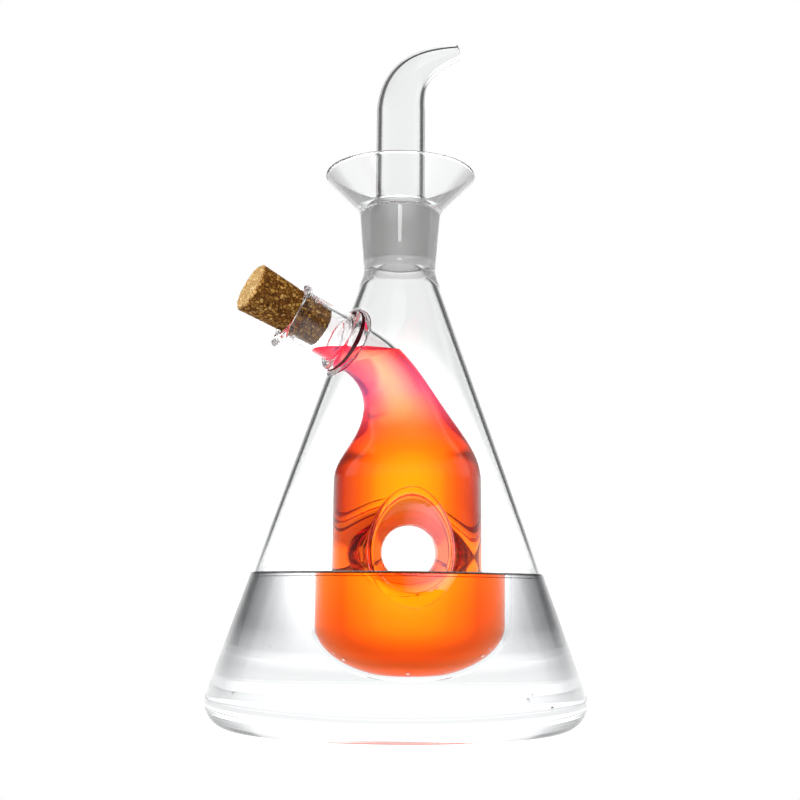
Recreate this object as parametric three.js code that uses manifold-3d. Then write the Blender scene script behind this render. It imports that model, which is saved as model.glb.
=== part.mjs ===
// Oil and vinegar bottle in blown glass: a conical oil flask, a vinegar vessel hung inside it from a side neck,
// a ground pouring spout in the flask's neck and a cork in the side neck.
// Millimetres, +Z up. The origin is on the flask's axis, on the table.
import * as THREE from 'three';
import { mergeVertices } from 'three/addons/utils/BufferGeometryUtils.js';
import Module from 'manifold-3d';

const wasm = await Module();
wasm.setup();

// Oil flask
const flaskHeight = 148;          // table to the seam below the socket
const baseRadius = 60.5;          // widest radius, at the base corner
const baseCornerRadius = 9;
const baseThickness = 3;
const kickRadius = 42;            // shallow push-up under the base
const kickDepth = 1;
const flaskWall = 2;
const throatBlend = 5;            // the wall thickens over this height below the seam

// Ground joint, socket and drip funnel
const stopperLength = 19.4;
const stopperRise = 1.8;          // ground cone left showing above the socket
const stopperTopRadius = 10.43;
const groundTaper = 0.05;         // radius gained per millimetre of height
const groundClearance = 0.05;
const stopperWall = 1.6;
const stopperShoulder = 2.2;      // height over which the cone closes in to the tube
const throatLength = 4;           // socket below the stopper's foot
const throatLedge = 0.3;          // throat narrower than the stopper's foot by this
const throatWall = 2.7;
const socketWall = 3.3;
const funnelHeight = 12.4;
const funnelRimRadius = 25;
const funnelWall = 1.6;

// Pouring tube
const tubeRadius = 8.3;
const tubeWall = 1.4;
const tubeStraight = 31.5;        // upright length above the stopper
const spoutReach = 19.6;          // axis to the middle of the tip
const spoutRise = 22;             // end of the upright length to the middle of the tip
const spoutTipAngle = 16;         // degrees above level
const bendLeadIn = 13.6;          // how far the bend starts out upright
const bendLeadOut = 12.9;         // how far it lies along the tip
const spoutTipRadius = 2.6;
const spoutTipWall = 0.9;
const spoutTaperPower = 1.3;      // above 1 the tube narrows late

// Side neck, ring seal and cork
const sideAzimuth = 28;           // degrees, from -X towards the viewer
const sideElevation = 23;         // degrees above level
const sideNeckDrop = 25;          // flask seam down to the middle of the ring seal
const sideTubeRadius = 8.2;
const sideTubeWall = 1.5;
const sideNeckLength = 20;        // ring seal to rim
const rimBeadRadius = 1.1;
const beadStart = -60;            // degrees, where the bead leaves the tube
const lipReach = 3.6;             // pulled pouring lip, out from the rim's underside
const lipDraw = 1.4;              // lip drawn forward of the rim
const lipLength = 5;
const lipHalfAngle = 42;          // degrees each side of the lip's middle
const sealWidth = 2.4;            // glass of the seal around the tube
const sealInside = 3.8;           // seal inside of the wall's outer face
const sealOutside = 1.6;
const seamBehindWall = 2;         // vessel neck meets the side neck inside the seal
const fusedGap = 0.3;
const corkLength = 27;
const corkInsertion = 11.5;
const corkClearance = 0.1;
const corkTaper = 0.06;           // radius gained per millimetre towards the outer end
const corkChamfer = 0.7;

// Vinegar vessel and its tunnel
const vesselRadius = 24.4;
const vesselWall = 1.5;
const vesselOffset = 3.6;         // vessel axis, away from the side neck
const vesselFloorGap = 7.2;       // flask floor to the vessel's underside
const vesselDome = 17;            // height of the rounded bottom
const domeStart = 18;             // degrees of the dome taken up by the flat at its middle
const neckRise = 46;              // shoulder to the middle of the ring seal
const neckUpright = 30;           // how far the neck goes on upright before it turns
const neckLeadIn = 17;            // how far it lies along the side neck's axis
const shoulderSpread = 0.26;      // larger keeps the shoulder wide for longer
const shoulderPower = 2.25;
const tunnelRadius = 8.2;
const tunnelFlare = 13;           // rounding of the tunnel's mouths
const tunnelDrop = 22.5;          // shoulder down to the tunnel's axis
const tunnelYaw = 3;              // degrees, front mouth towards +X

// Liquids
const oilBelowTunnel = 6.9;       // surface below the tunnel's axis, so the oil lies in the tunnel
const vinegarBelowSeal = 3;       // surface below the middle of the ring seal

const flaskFacets = 56;
const jointFacets = 48;
const sideFacets = 28;
const vesselFacets = 28;
const spoutFacets = 20;
const tunnelFacets = 24;
const cornerSteps = 6;
const shoulderSteps = 3;
const edgeSteps = 4;
const domeSteps = 5;
const bendSteps = 12;
const neckSteps = 14;

const rad = THREE.MathUtils.degToRad;
const flat = (x, y) => new THREE.Vector2(x, y);

// Shape helpers

function solidOf(geometry) {
  const bare = geometry.clone();
  bare.deleteAttribute('normal');
  bare.deleteAttribute('uv');
  const merged = mergeVertices(bare, 1e-3);
  const position = merged.getAttribute('position');
  const kept = [];
  const index = merged.index.array;
  for (let i = 0; i < index.length; i += 3) {
    const [a, b, c] = [index[i], index[i + 1], index[i + 2]];
    if (a !== b && b !== c && c !== a) kept.push(a, b, c);
  }
  const mesh = new wasm.Mesh({
    numProp: 3,
    vertProperties: new Float32Array(position.array),
    triVerts: new Uint32Array(kept),
  });
  return new wasm.Manifold(mesh);
}

function geometryOf(solid) {
  const mesh = solid.getMesh();
  const geometry = new THREE.BufferGeometry();
  geometry.setAttribute('position', new THREE.BufferAttribute(new Float32Array(mesh.vertProperties), 3));
  geometry.setIndex(new THREE.BufferAttribute(new Uint32Array(mesh.triVerts), 1));
  return geometry;
}

function arc(centre, radius, startDegrees, endDegrees, steps) {
  const points = [];
  for (let i = 0; i <= steps; i += 1) {
    const angle = rad(startDegrees + (endDegrees - startDegrees) * i / steps);
    points.push(flat(centre.x + radius * Math.cos(angle), centre.y + radius * Math.sin(angle)));
  }
  return points;
}

// Turns a counter-clockwise outline of (radius, height) points about Z.
function revolve(outline, facets) {
  const closed = outline[0].x > 0 ? [...outline, outline[0].clone()] : outline;
  return new THREE.LatheGeometry(closed, facets).rotateX(Math.PI / 2);
}

// Skins round stations of a path in the XZ plane, and closes both ends.
function sweep(stations, facets) {
  const points = [];
  const triangles = [];
  for (const { place, ahead, radius } of stations) {
    const side = flat(ahead.y, -ahead.x);
    for (let i = 0; i < facets; i += 1) {
      const angle = 2 * Math.PI * i / facets;
      const out = radius * Math.cos(angle);
      points.push(place.x + side.x * out, radius * Math.sin(angle), place.y + side.y * out);
    }
  }
  for (let ring = 0; ring + 1 < stations.length; ring += 1) {
    for (let i = 0; i < facets; i += 1) {
      const a = ring * facets + i;
      const b = ring * facets + (i + 1) % facets;
      triangles.push(a, b, b + facets, a, b + facets, a + facets);
    }
  }
  const first = points.length / 3;
  const last = first + 1;
  const start = stations[0].place;
  const end = stations.at(-1).place;
  points.push(start.x, 0, start.y, end.x, 0, end.y);
  const top = (stations.length - 1) * facets;
  for (let i = 0; i < facets; i += 1) {
    const next = (i + 1) % facets;
    triangles.push(first, next, i, last, top + i, top + next);
  }
  const geometry = new THREE.BufferGeometry();
  geometry.setAttribute('position', new THREE.Float32BufferAttribute(points, 3));
  geometry.setIndex(triangles);
  return geometry;
}

function glass(color, roughness, opacity) {
  return new THREE.MeshStandardMaterial({ color, roughness, metalness: 0, transparent: true, opacity });
}

const clearGlass = glass(0xeef2f2, 0.03, 0.3);
const groundGlass = glass(0xb4b8b8, 0.55, 0.85);
const vinegarRed = glass(0xff5a14, 0.05, 0.8);
const oilClear = glass(0xe6ebee, 0.05, 0.35);
const corkBrown = new THREE.MeshStandardMaterial({ color: 0x9c6a35, roughness: 0.9, metalness: 0 });

function piece(name, geometry, material) {
  const mesh = new THREE.Mesh(geometry, material);
  mesh.name = name;
  return mesh;
}

// Heights and radii that several pieces share

const socketHeight = stopperLength - stopperRise + throatLength;
const socketTop = flaskHeight + socketHeight;
const stopperTop = socketTop + stopperRise;
const stopperFoot = stopperTop - stopperLength;
const groundRadius = (height) => stopperTopRadius - (stopperTop - height) * groundTaper;
const throatRadius = groundRadius(stopperFoot) - throatLedge;
const seamRadius = throatRadius + throatWall;
const socketTopRadius = groundRadius(socketTop) + socketWall;
const tubeFoot = stopperTop + stopperShoulder;

// The flask's side is the tangent from the seam to the base corner.
const cornerCentre = flat(baseRadius - baseCornerRadius, baseCornerRadius);
const seamFromCorner = flat(seamRadius, flaskHeight).sub(cornerCentre);
const coneAngle = Math.atan2(-seamFromCorner.x, seamFromCorner.y)
  + Math.asin(baseCornerRadius / seamFromCorner.length());
const coneOut = flat(Math.cos(coneAngle), Math.sin(coneAngle));
const coneRadius = (height) => seamRadius + (flaskHeight - height) * Math.tan(coneAngle);

const sealHeight = flaskHeight - sideNeckDrop;
const sealRadius = coneRadius(sealHeight);
const sealCentre = flat(-sealRadius, sealHeight);
const sideAhead = flat(-Math.cos(rad(sideElevation)), Math.sin(rad(sideElevation)));
const sideBore = sideTubeRadius - sideTubeWall;
const sealOuterRadius = sideTubeRadius + fusedGap + sealWidth;
const corkFoot = sideNeckLength - corkInsertion;

const vesselBottom = baseThickness + vesselFloorGap;
const shoulderHeight = sealHeight - neckRise;
const tunnelHeight = shoulderHeight - tunnelDrop;
const oilLevel = tunnelHeight - oilBelowTunnel;
const vinegarLevel = sealHeight - vinegarBelowSeal;

// Inside of the flask, pulled in by an inset: used for its wall and for the oil.
function flaskInside(inset) {
  const radius = baseCornerRadius - flaskWall;
  const centreHeight = baseThickness + radius;
  const reach = coneOut.dot(cornerCentre) + baseCornerRadius - flaskWall;
  const centre = flat((reach - radius - coneOut.y * centreHeight) / coneOut.x, centreHeight);
  const coneDegrees = THREE.MathUtils.radToDeg(coneAngle);
  const blendHeight = flaskHeight - throatBlend;
  const side = flaskWall / coneOut.x + inset;
  return [
    flat(0, baseThickness + inset),
    ...arc(centre, radius - inset, -90, coneDegrees, cornerSteps),
    flat(coneRadius(blendHeight) - side, blendHeight),
    flat(throatRadius - inset, flaskHeight),
  ];
}

const sidePlane = new THREE.Group();
sidePlane.rotation.z = rad(sideAzimuth);
const sideAxis = new THREE.Group();
sideAxis.position.set(sealCentre.x, 0, sealCentre.y);
sideAxis.rotation.y = rad(sideElevation - 90);
sidePlane.add(sideAxis);
sidePlane.updateMatrixWorld(true);

function makeFlaskBody() {
  const outline = [
    flat(0, kickDepth),
    flat(kickRadius, 0),
    ...arc(cornerCentre, baseCornerRadius, -90, THREE.MathUtils.radToDeg(coneAngle), cornerSteps),
    flat(seamRadius, flaskHeight),
    ...flaskInside(0).reverse(),
  ];
  const shell = solidOf(revolve(outline, flaskFacets));
  const drillLength = 2 * (sealInside + sealOuterRadius);
  const drill = new THREE.CylinderGeometry(
    sealOuterRadius + fusedGap,
    sealOuterRadius + fusedGap,
    drillLength,
    sideFacets,
  );
  drill.rotateX(Math.PI / 2).applyMatrix4(sideAxis.matrixWorld);
  return geometryOf(shell.subtract(solidOf(drill)));
}

function makeNeckSocket() {
  const boreFoot = stopperFoot - throatLedge;
  return revolve([
    flat(throatRadius, flaskHeight),
    flat(seamRadius, flaskHeight),
    flat(socketTopRadius, socketTop),
    flat(groundRadius(socketTop) + groundClearance, socketTop),
    flat(groundRadius(boreFoot) + groundClearance, boreFoot),
    flat(throatRadius, boreFoot - throatLedge),
  ], jointFacets);
}

function makeDripFunnel() {
  const flare = flat(funnelHeight, socketTopRadius - funnelRimRadius).normalize();
  const insideShift = funnelWall / flare.x;
  const rim = flat(funnelRimRadius, socketTop + funnelHeight);
  const lipRadius = funnelWall / 2;
  const rimCentre = rim.clone().addScaledVector(flare, -lipRadius);
  rimCentre.y -= lipRadius;
  const outDegrees = THREE.MathUtils.radToDeg(flare.angle()) - 360;
  return revolve([
    flat(socketTopRadius - insideShift, socketTop),
    flat(socketTopRadius, socketTop),
    ...arc(rimCentre, lipRadius, outDegrees, outDegrees + 180, edgeSteps),
  ], jointFacets);
}

function makeStopperCone() {
  const bore = groundRadius(stopperFoot) - stopperWall;
  const shoulder = [];
  for (let i = 0; i <= shoulderSteps; i += 1) {
    const angle = rad(90 * i / shoulderSteps);
    const inward = (stopperTopRadius - tubeRadius) * Math.sin(angle);
    shoulder.push(flat(stopperTopRadius - inward, tubeFoot - stopperShoulder * Math.cos(angle)));
  }
  return revolve([
    flat(bore, stopperFoot),
    flat(groundRadius(stopperFoot), stopperFoot),
    ...shoulder,
    flat(tubeRadius - tubeWall, tubeFoot),
    flat(bore, stopperTop - stopperWall),
  ], jointFacets);
}

// Stations of the pouring tube: upright, then one sweeping curve to the tip.
function tubeStations(wallShare, runOut) {
  const bendFoot = flat(0, tubeFoot + tubeStraight);
  const tip = flat(spoutReach, bendFoot.y + spoutRise);
  const tipAhead = flat(Math.cos(rad(spoutTipAngle)), Math.sin(rad(spoutTipAngle)));
  const bend = new THREE.CubicBezierCurve(
    bendFoot,
    flat(0, bendFoot.y + bendLeadIn),
    tip.clone().addScaledVector(tipAhead, -bendLeadOut),
    tip,
  );
  const footRadius = tubeRadius - tubeWall * wallShare;
  const tipRadius = spoutTipRadius - spoutTipWall * wallShare;
  const upright = flat(0, 1);
  const stations = [{ place: flat(0, tubeFoot - runOut), ahead: upright, radius: footRadius }];
  for (let i = 0; i <= bendSteps; i += 1) {
    const share = i / bendSteps;
    const radius = footRadius - (footRadius - tipRadius) * share ** spoutTaperPower;
    stations.push({ place: bend.getPoint(share), ahead: bend.getTangent(share), radius });
  }
  if (runOut > 0) {
    stations.push({ place: tip.clone().addScaledVector(tipAhead, runOut), ahead: tipAhead, radius: tipRadius });
  }
  return stations;
}

function makePourTube() {
  const outside = solidOf(sweep(tubeStations(0, 0), spoutFacets));
  const bore = solidOf(sweep(tubeStations(1, tubeWall), spoutFacets));
  return geometryOf(outside.subtract(bore));
}

// Stations of the vinegar vessel, pulled in by an inset: domed bottom, body, shoulder and bent neck.
// The neck ends at a distance along the side neck's axis, counted from the middle of the seal.
function vesselStations(inset, neckEnd) {
  const upright = flat(0, 1);
  const bodyRadius = vesselRadius - inset;
  const stations = [];
  for (let i = 0; i <= domeSteps; i += 1) {
    const angle = rad(domeStart + (90 - domeStart) * i / domeSteps);
    const height = vesselBottom + vesselDome - (vesselDome - inset) * Math.cos(angle) / Math.cos(rad(domeStart));
    stations.push({ place: flat(vesselOffset, height), ahead: upright, radius: bodyRadius * Math.sin(angle) });
  }
  const neck = new THREE.CubicBezierCurve(
    flat(vesselOffset, shoulderHeight),
    flat(vesselOffset, shoulderHeight + neckUpright),
    sealCentre.clone().addScaledVector(sideAhead, -neckLeadIn),
    sealCentre.clone().addScaledVector(sideAhead, -seamBehindWall),
  );
  const swell = (share) => 1 / (1 + (share / shoulderSpread) ** shoulderPower);
  for (let i = 0; i <= neckSteps; i += 1) {
    const share = i / neckSteps;
    const width = (swell(share) - swell(1)) / (1 - swell(1));
    const radius = sideTubeRadius + (vesselRadius - sideTubeRadius) * width - inset;
    stations.push({ place: neck.getPoint(share), ahead: neck.getTangent(share), radius });
  }
  if (neckEnd > -seamBehindWall) {
    const place = sealCentre.clone().addScaledVector(sideAhead, neckEnd);
    stations.push({ place, ahead: sideAhead, radius: sideTubeRadius - inset });
  }
  return stations;
}

// Waisted plug of the tunnel through the vessel, grown by an inset, with both mouths rounded.
function tunnelPlug(inset) {
  const flare = tunnelFlare - inset;
  const centre = flat(tunnelRadius + tunnelFlare, vesselRadius - tunnelFlare);
  const front = arc(centre, flare, 180, 90, edgeSteps);
  const back = front.map((point) => flat(point.x, -point.y)).reverse();
  const past = vesselRadius - inset + (inset > 0 ? 0 : tunnelRadius);
  const outline = [
    flat(0, -past),
    flat(centre.x, -past),
    ...back,
    ...front,
    flat(centre.x, past),
    flat(0, past),
  ];
  const plug = revolve(outline, tunnelFacets).rotateX(Math.PI / 2);
  plug.rotateZ(rad(tunnelYaw - sideAzimuth)).translate(vesselOffset, 0, tunnelHeight);
  return solidOf(plug);
}

function vesselSpace(inset, neckEnd) {
  return solidOf(sweep(vesselStations(inset, neckEnd), vesselFacets)).subtract(tunnelPlug(inset));
}

function makeVinegarVessel() {
  const outside = vesselSpace(0, -seamBehindWall);
  const inside = vesselSpace(vesselWall, sealOutside);
  return geometryOf(outside.subtract(inside));
}

function makeRingSeal() {
  const inner = sideTubeRadius + fusedGap;
  const edge = sealWidth / 2;
  const middle = inner + edge;
  return revolve([
    flat(inner, edge - sealInside),
    ...arc(flat(middle, edge - sealInside), edge, 180, 360, edgeSteps),
    ...arc(flat(middle, sealOutside - edge), edge, 0, 180, edgeSteps),
    flat(inner, sealOutside - edge),
  ], sideFacets);
}

// Side neck with a beaded rim, a bore tapered for the cork and a lip pulled out at its underside.
function makeSideNeck() {
  const foot = fusedGap - seamBehindWall;
  const rimBore = sideBore + corkInsertion * corkTaper;
  const beadCentre = flat(sideTubeRadius + rimBeadRadius / 2, sideNeckLength - rimBeadRadius);
  const lipFoot = sideNeckLength - lipLength;
  const tube = revolve([
    flat(sideBore, foot),
    flat(sideTubeRadius, foot),
    flat(sideTubeRadius, lipFoot),
    ...arc(beadCentre, rimBeadRadius, beadStart, 90, edgeSteps),
    flat(rimBore, sideNeckLength),
    flat(sideBore + corkTaper * (lipFoot - corkFoot), lipFoot),
    flat(sideBore, corkFoot),
  ], sideFacets);
  const position = tube.getAttribute('position');
  for (let i = 0; i < position.count; i += 1) {
    const point = new THREE.Vector3().fromBufferAttribute(position, i);
    const along = THREE.MathUtils.clamp((point.z - lipFoot) / lipLength, 0, 1);
    const aside = Math.abs(Math.atan2(point.y, -point.x)) / rad(lipHalfAngle);
    const pull = aside < 1 ? along ** 2 * Math.cos(aside * Math.PI / 2) ** 2 : 0;
    position.setXYZ(i, point.x - lipReach * pull, point.y, point.z + lipDraw * pull);
  }
  return tube;
}

function makeCork() {
  const footRadius = sideBore - corkClearance;
  const headRadius = footRadius + corkLength * corkTaper;
  const head = corkFoot + corkLength;
  return revolve([
    flat(0, corkFoot),
    flat(footRadius - corkChamfer, corkFoot),
    flat(footRadius + corkChamfer * corkTaper, corkFoot + corkChamfer),
    flat(headRadius - corkChamfer * corkTaper, head - corkChamfer),
    flat(headRadius - corkChamfer, head),
    flat(0, head),
  ], sideFacets);
}

function above(height) {
  const reach = 4 * baseRadius;
  const block = new THREE.BoxGeometry(reach, reach, flaskHeight);
  return solidOf(block.translate(0, 0, height + flaskHeight / 2));
}

function makeOilFill() {
  const inside = [...flaskInside(fusedGap), flat(0, flaskHeight)];
  const space = solidOf(revolve(inside, flaskFacets));
  const vessel = geometryOf(vesselSpace(-fusedGap, sealOutside));
  vessel.rotateZ(rad(sideAzimuth));
  return geometryOf(space.subtract(above(oilLevel)).subtract(solidOf(vessel)));
}

function makeVinegarFill() {
  const space = vesselSpace(vesselWall + fusedGap, corkFoot - fusedGap);
  return geometryOf(space.subtract(above(vinegarLevel)));
}

const bottle = new THREE.Group();
bottle.add(
  piece('flask_body', makeFlaskBody(), clearGlass),
  piece('neck_socket', makeNeckSocket(), groundGlass),
  piece('drip_funnel', makeDripFunnel(), clearGlass),
  piece('stopper_cone', makeStopperCone(), groundGlass),
  piece('pour_tube', makePourTube(), clearGlass),
  piece('oil_fill', makeOilFill(), oilClear),
  sidePlane,
);
sidePlane.add(
  piece('vinegar_vessel', makeVinegarVessel(), clearGlass),
  piece('vinegar_fill', makeVinegarFill(), vinegarRed),
);
sideAxis.add(
  piece('ring_seal', makeRingSeal(), clearGlass),
  piece('side_neck', makeSideNeck(), clearGlass),
  piece('cork', makeCork(), corkBrown),
);

export default bottle;
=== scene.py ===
import math

import bmesh
import bpy
import numpy as np
from mathutils import Matrix, Vector, geometry


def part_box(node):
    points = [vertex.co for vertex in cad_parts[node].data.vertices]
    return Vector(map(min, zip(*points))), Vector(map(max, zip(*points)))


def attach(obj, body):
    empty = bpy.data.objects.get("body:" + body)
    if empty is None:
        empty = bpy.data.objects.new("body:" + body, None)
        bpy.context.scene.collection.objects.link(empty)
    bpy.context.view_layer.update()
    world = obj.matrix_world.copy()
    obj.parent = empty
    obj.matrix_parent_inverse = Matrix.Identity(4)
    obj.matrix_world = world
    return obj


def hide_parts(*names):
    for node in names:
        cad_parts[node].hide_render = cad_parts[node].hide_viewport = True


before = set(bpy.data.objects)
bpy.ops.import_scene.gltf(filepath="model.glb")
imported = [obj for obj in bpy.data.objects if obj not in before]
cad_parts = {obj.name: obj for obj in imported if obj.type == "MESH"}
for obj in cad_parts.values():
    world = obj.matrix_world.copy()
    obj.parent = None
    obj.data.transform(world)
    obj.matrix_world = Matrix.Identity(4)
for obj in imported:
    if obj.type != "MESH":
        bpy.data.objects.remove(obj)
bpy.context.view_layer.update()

# Blown-glass oil and vinegar bottle. Sizes in the dictionaries are millimetres and degrees.
mm = 0.001


def topOf(node):
    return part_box(node)[1].z / mm


def footOf(node):
    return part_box(node)[0].z / mm


def reachOf(node):
    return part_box(node)[1].x / mm


print("stage: sizes")

flask = {
    "height": topOf("flask_body"),        # table to the seam below the socket
    "baseRadius": reachOf("flask_body"),
    "cornerRadius": 9.0,
    "floor": 3.0,
    "wall": 2.0,
    "kickRadius": 42.0,                   # shallow push-up under the base
    "kickDepth": 1.0,
    "throatBlend": 5.0,
    "seamSoften": 3.0,
    "boreSoften": 1.0,
    "rimSoften": 0.8,
    "edgeSoften": 0.4,
}

groundJoint = {
    "socketTop": topOf("neck_socket"),
    "coneFoot": footOf("stopper_cone"),
    "coneTopRadius": reachOf("stopper_cone"),
    "tubeFoot": topOf("stopper_cone"),
    "shoulder": 2.2,                      # the cone closes in to the tube over this height
    "taper": 0.05,
    "clearance": 0.05,
    "coneWall": 1.6,
    "ledge": 0.3,
    "throatWall": 2.7,
    "socketWall": 3.3,
}

funnel = {
    "height": 12.4,
    "rimRadius": 25.0,
    "wall": 1.6,
    "soften": 1.2,
}

sideNeck = {
    "azimuth": 28.0,                      # from -X towards the viewer
    "elevation": 23.0,
    "drop": 25.0,                         # flask seam down to the middle of the ring seal
    "radius": 8.2,
    "wall": 1.5,
    "length": 20.0,
    "foot": -2.0,                         # behind the flask's outer face
    "beadRadius": 1.1,
    "lipReach": 3.6,
    "lipDraw": 1.4,
    "lipLength": 5.0,
    "lipHalfAngle": 42.0,
    "sealMiddle": 9.7,
    "sealRound": 1.2,
    "sealInner": -2.6,
    "sealOuter": 0.4,
    "boreStart": 1.0,                     # behind the foot
    "soften": 1.3,
    "rimSoften": 0.8,
    "beadSoften": 1.0,
}

corkStopper = {
    "length": 27.0,
    "insertion": 11.5,
    "clearance": 0.1,
    "taper": 0.06,
    "taperPast": 4.0,                     # the bore's taper goes on past the rim
    "chamfer": 0.7,
}

vessel = {
    "radius": 24.4,
    "wall": 1.5,
    "offset": 3.6,                        # its axis, away from the side neck
    "bottom": footOf("vinegar_vessel"),
    "dome": 17.0,
    "domeStart": 18.0,
    "neckRise": 46.0,
    "neckUpright": 30.0,
    "neckLeadIn": 17.0,
    "neckEnd": 1.0,                       # in front of the middle of the ring seal
    "shoulderSpread": 0.26,
    "shoulderPower": 2.25,
    "tunnelRadius": 8.2,
    "tunnelFlare": 9.0,                   # radius gained from the waist to the mouths
    "tunnelPower": 5.0,
    "tunnelDrop": 22.5,
    "tunnelYaw": 3.0,
    "tunnelSoften": 1.2,
    "tunnelRoom": 18.0,                   # the tunnel stays below this height over the shoulder
    "flareEnd": 1.1,                      # the flare grows up to this share of the radius
    "mouthBead": 0.85,                    # ridge where the tunnel was fused to the body
    "beadSoften": 0.5,
    # painted shade: width of the dark line along the fused ridge
    "seamWidth": 0.16,
    "bottomSoften": 2.0,
    "fuseSoften": 0.8,
    "spaceSoften": 0.6,
    "spaceEdge": 0.4,
}

liquids = {
    "oilTop": topOf("oil_fill"),
    "vinegarTop": topOf("vinegar_fill"),
    "film": 0.05,                         # hair gap to the glass, closed optically
    "sag": 1.0,                           # the open surface's middle, below the nominal level
    "climb": 1.1,                         # middle to the line where it meets the glass
    "spread": 1.5,
    "shoreShadeWidth": 0.8,                    # painted shade: dark line along the glass
    "shoreShadeLines": ((0.0, 0.75), (1.35, 1.6)),  # painted dark lines on it, depths below the contact line
    "shoreSteps": (0.22, 0.55, 1.05, 1.8),     # rows of points along the glass
    "shoreRoom": 0.7,                     # share of its step that a point keeps from other glass
    "gridStep": 2.3,
    "gridRoom": 2.6,
    "edgeSlack": 0.03,
}

# Sizes that several pieces share, worked out as on the solids
coneTop = groundJoint["tubeFoot"] - groundJoint["shoulder"]


def groundRadius(z):
    return groundJoint["coneTopRadius"] - (coneTop - z) * groundJoint["taper"]


throatRadius = groundRadius(groundJoint["coneFoot"]) - groundJoint["ledge"]
seamRadius = throatRadius + groundJoint["throatWall"]
socketTopRadius = groundRadius(groundJoint["socketTop"]) + groundJoint["socketWall"]

cornerR = flask["baseRadius"] - flask["cornerRadius"]
cornerZ = flask["cornerRadius"]
coneIn, coneUp = cornerR - seamRadius, flask["height"] - cornerZ
coneAngle = math.atan2(coneIn, coneUp) + math.asin(flask["cornerRadius"] / math.hypot(coneIn, coneUp))
coneCos, coneSin, coneTan = math.cos(coneAngle), math.sin(coneAngle), math.tan(coneAngle)


def coneRadius(z):
    return seamRadius + (flask["height"] - z) * coneTan


sealZ = flask["height"] - sideNeck["drop"]
sealU = -coneRadius(sealZ)
aheadU = -math.cos(math.radians(sideNeck["elevation"]))
aheadZ = math.sin(math.radians(sideNeck["elevation"]))
sideCos = math.cos(math.radians(sideNeck["azimuth"]))
sideSin = math.sin(math.radians(sideNeck["azimuth"]))
sideBore = sideNeck["radius"] - sideNeck["wall"]
corkFoot = sideNeck["length"] - corkStopper["insertion"]
shoulderZ = sealZ - vessel["neckRise"]
tunnelZ = shoulderZ - vessel["tunnelDrop"]

# Shape fields: below zero is inside, distances in millimetres


def smoothMin(a, b, k):
    blend = np.maximum(k - np.abs(a - b), 0.0) / k
    return np.minimum(a, b) - blend * blend * k / 4


def smoothMax(a, b, k):
    return -smoothMin(-a, -b, k)


def softened(heights, radii, width):
    step = heights[1] - heights[0]
    count = max(1, int(round(width / step)))
    kernel = np.ones(count) / count
    kernel = np.convolve(kernel, kernel)
    pad = len(kernel) // 2
    longer = np.concatenate((
        radii[0] + (radii[1] - radii[0]) * np.arange(-pad, 0),
        radii,
        radii[-1] + (radii[-1] - radii[-2]) * np.arange(1, pad + 1),
    ))
    return np.convolve(longer, kernel, "valid")


profileFoot, profileHead, profileStep = 20.0, 200.0, 0.25
profileZ = np.arange(profileFoot, profileHead, profileStep)


def outsideProfile():
    socketSlope = (socketTopRadius - seamRadius) / (groundJoint["socketTop"] - flask["height"])
    above = seamRadius + (profileZ - flask["height"]) * socketSlope
    radii = np.where(profileZ < flask["height"], coneRadius(profileZ), above)
    return softened(profileZ, radii, flask["seamSoften"])


def insideProfile():
    blendZ = flask["height"] - flask["throatBlend"]
    boreFoot = groundJoint["coneFoot"] - groundJoint["ledge"]
    cone = coneRadius(profileZ) - flask["wall"] / coneCos
    coneAtBlend = coneRadius(blendZ) - flask["wall"] / coneCos
    rise = np.clip((profileZ - blendZ) / flask["throatBlend"], 0, 1)
    throat = coneAtBlend + (throatRadius - coneAtBlend) * rise
    bore = groundRadius(profileZ) + groundJoint["clearance"]
    radii = np.where(profileZ < blendZ, cone, throat)
    radii = np.where(profileZ < boreFoot, radii, bore)
    return softened(profileZ, radii, flask["boreSoften"])


outsideRadii = outsideProfile()
insideRadii = insideProfile()
profileJoin = 60.0      # below this height the base corner's own arc takes over


def cornered(r, z, arcR, arcZ, arcRadius, foot):
    dr = r - arcR
    dz = z - arcZ
    side = dr * coneCos + dz * coneSin - arcRadius
    onArc = (dr > 0) & (dz * coneCos - dr * coneSin < 0)
    return np.where(onArc, np.hypot(dr, dz) - arcRadius, np.maximum(side, foot))


def flaskOutside(r, z):
    kick = np.maximum(0, 1 - r / flask["kickRadius"]) * flask["kickDepth"]
    low = cornered(r, z, cornerR, cornerZ, flask["cornerRadius"], kick - z)
    high = (r - np.interp(z, profileZ, outsideRadii)) * coneCos
    return np.where(z < profileJoin, low, high)


def flaskInside(r, z):
    arcRadius = flask["cornerRadius"] - flask["wall"]
    arcZ = flask["floor"] + arcRadius
    reach = coneCos * cornerR + coneSin * cornerZ + flask["cornerRadius"] - flask["wall"]
    arcR = (reach - arcRadius - coneSin * arcZ) / coneCos
    low = cornered(r, z, arcR, arcZ, arcRadius, flask["floor"] - z)
    high = (r - np.interp(z, profileZ, insideRadii)) * coneCos
    return np.where(z < profileJoin, low, high)


def funnelWall(r, z):
    length = math.hypot(funnel["height"], funnel["rimRadius"] - socketTopRadius)
    outR = funnel["height"] / length
    outZ = (socketTopRadius - funnel["rimRadius"]) / length
    half = funnel["wall"] / 2
    footR = socketTopRadius - half * outR
    footZ = groundJoint["socketTop"] - half * outZ
    rimR = funnel["rimRadius"] - half * outR
    rimZ = groundJoint["socketTop"] + funnel["height"] - half * outZ - half
    spanR, spanZ = rimR - footR, rimZ - footZ
    share = ((r - footR) * spanR + (z - footZ) * spanZ) / (spanR * spanR + spanZ * spanZ)
    share = np.clip(share, 0, 1)
    return np.hypot(r - footR - share * spanR, z - footZ - share * spanZ) - half


def flaskShell(r, z):
    outer = smoothMax(flaskOutside(r, z), z - groundJoint["socketTop"], flask["rimSoften"])
    shell = smoothMax(outer, -flaskInside(r, z), flask["edgeSoften"])
    return smoothMin(shell, funnelWall(r, z), funnel["soften"])


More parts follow.
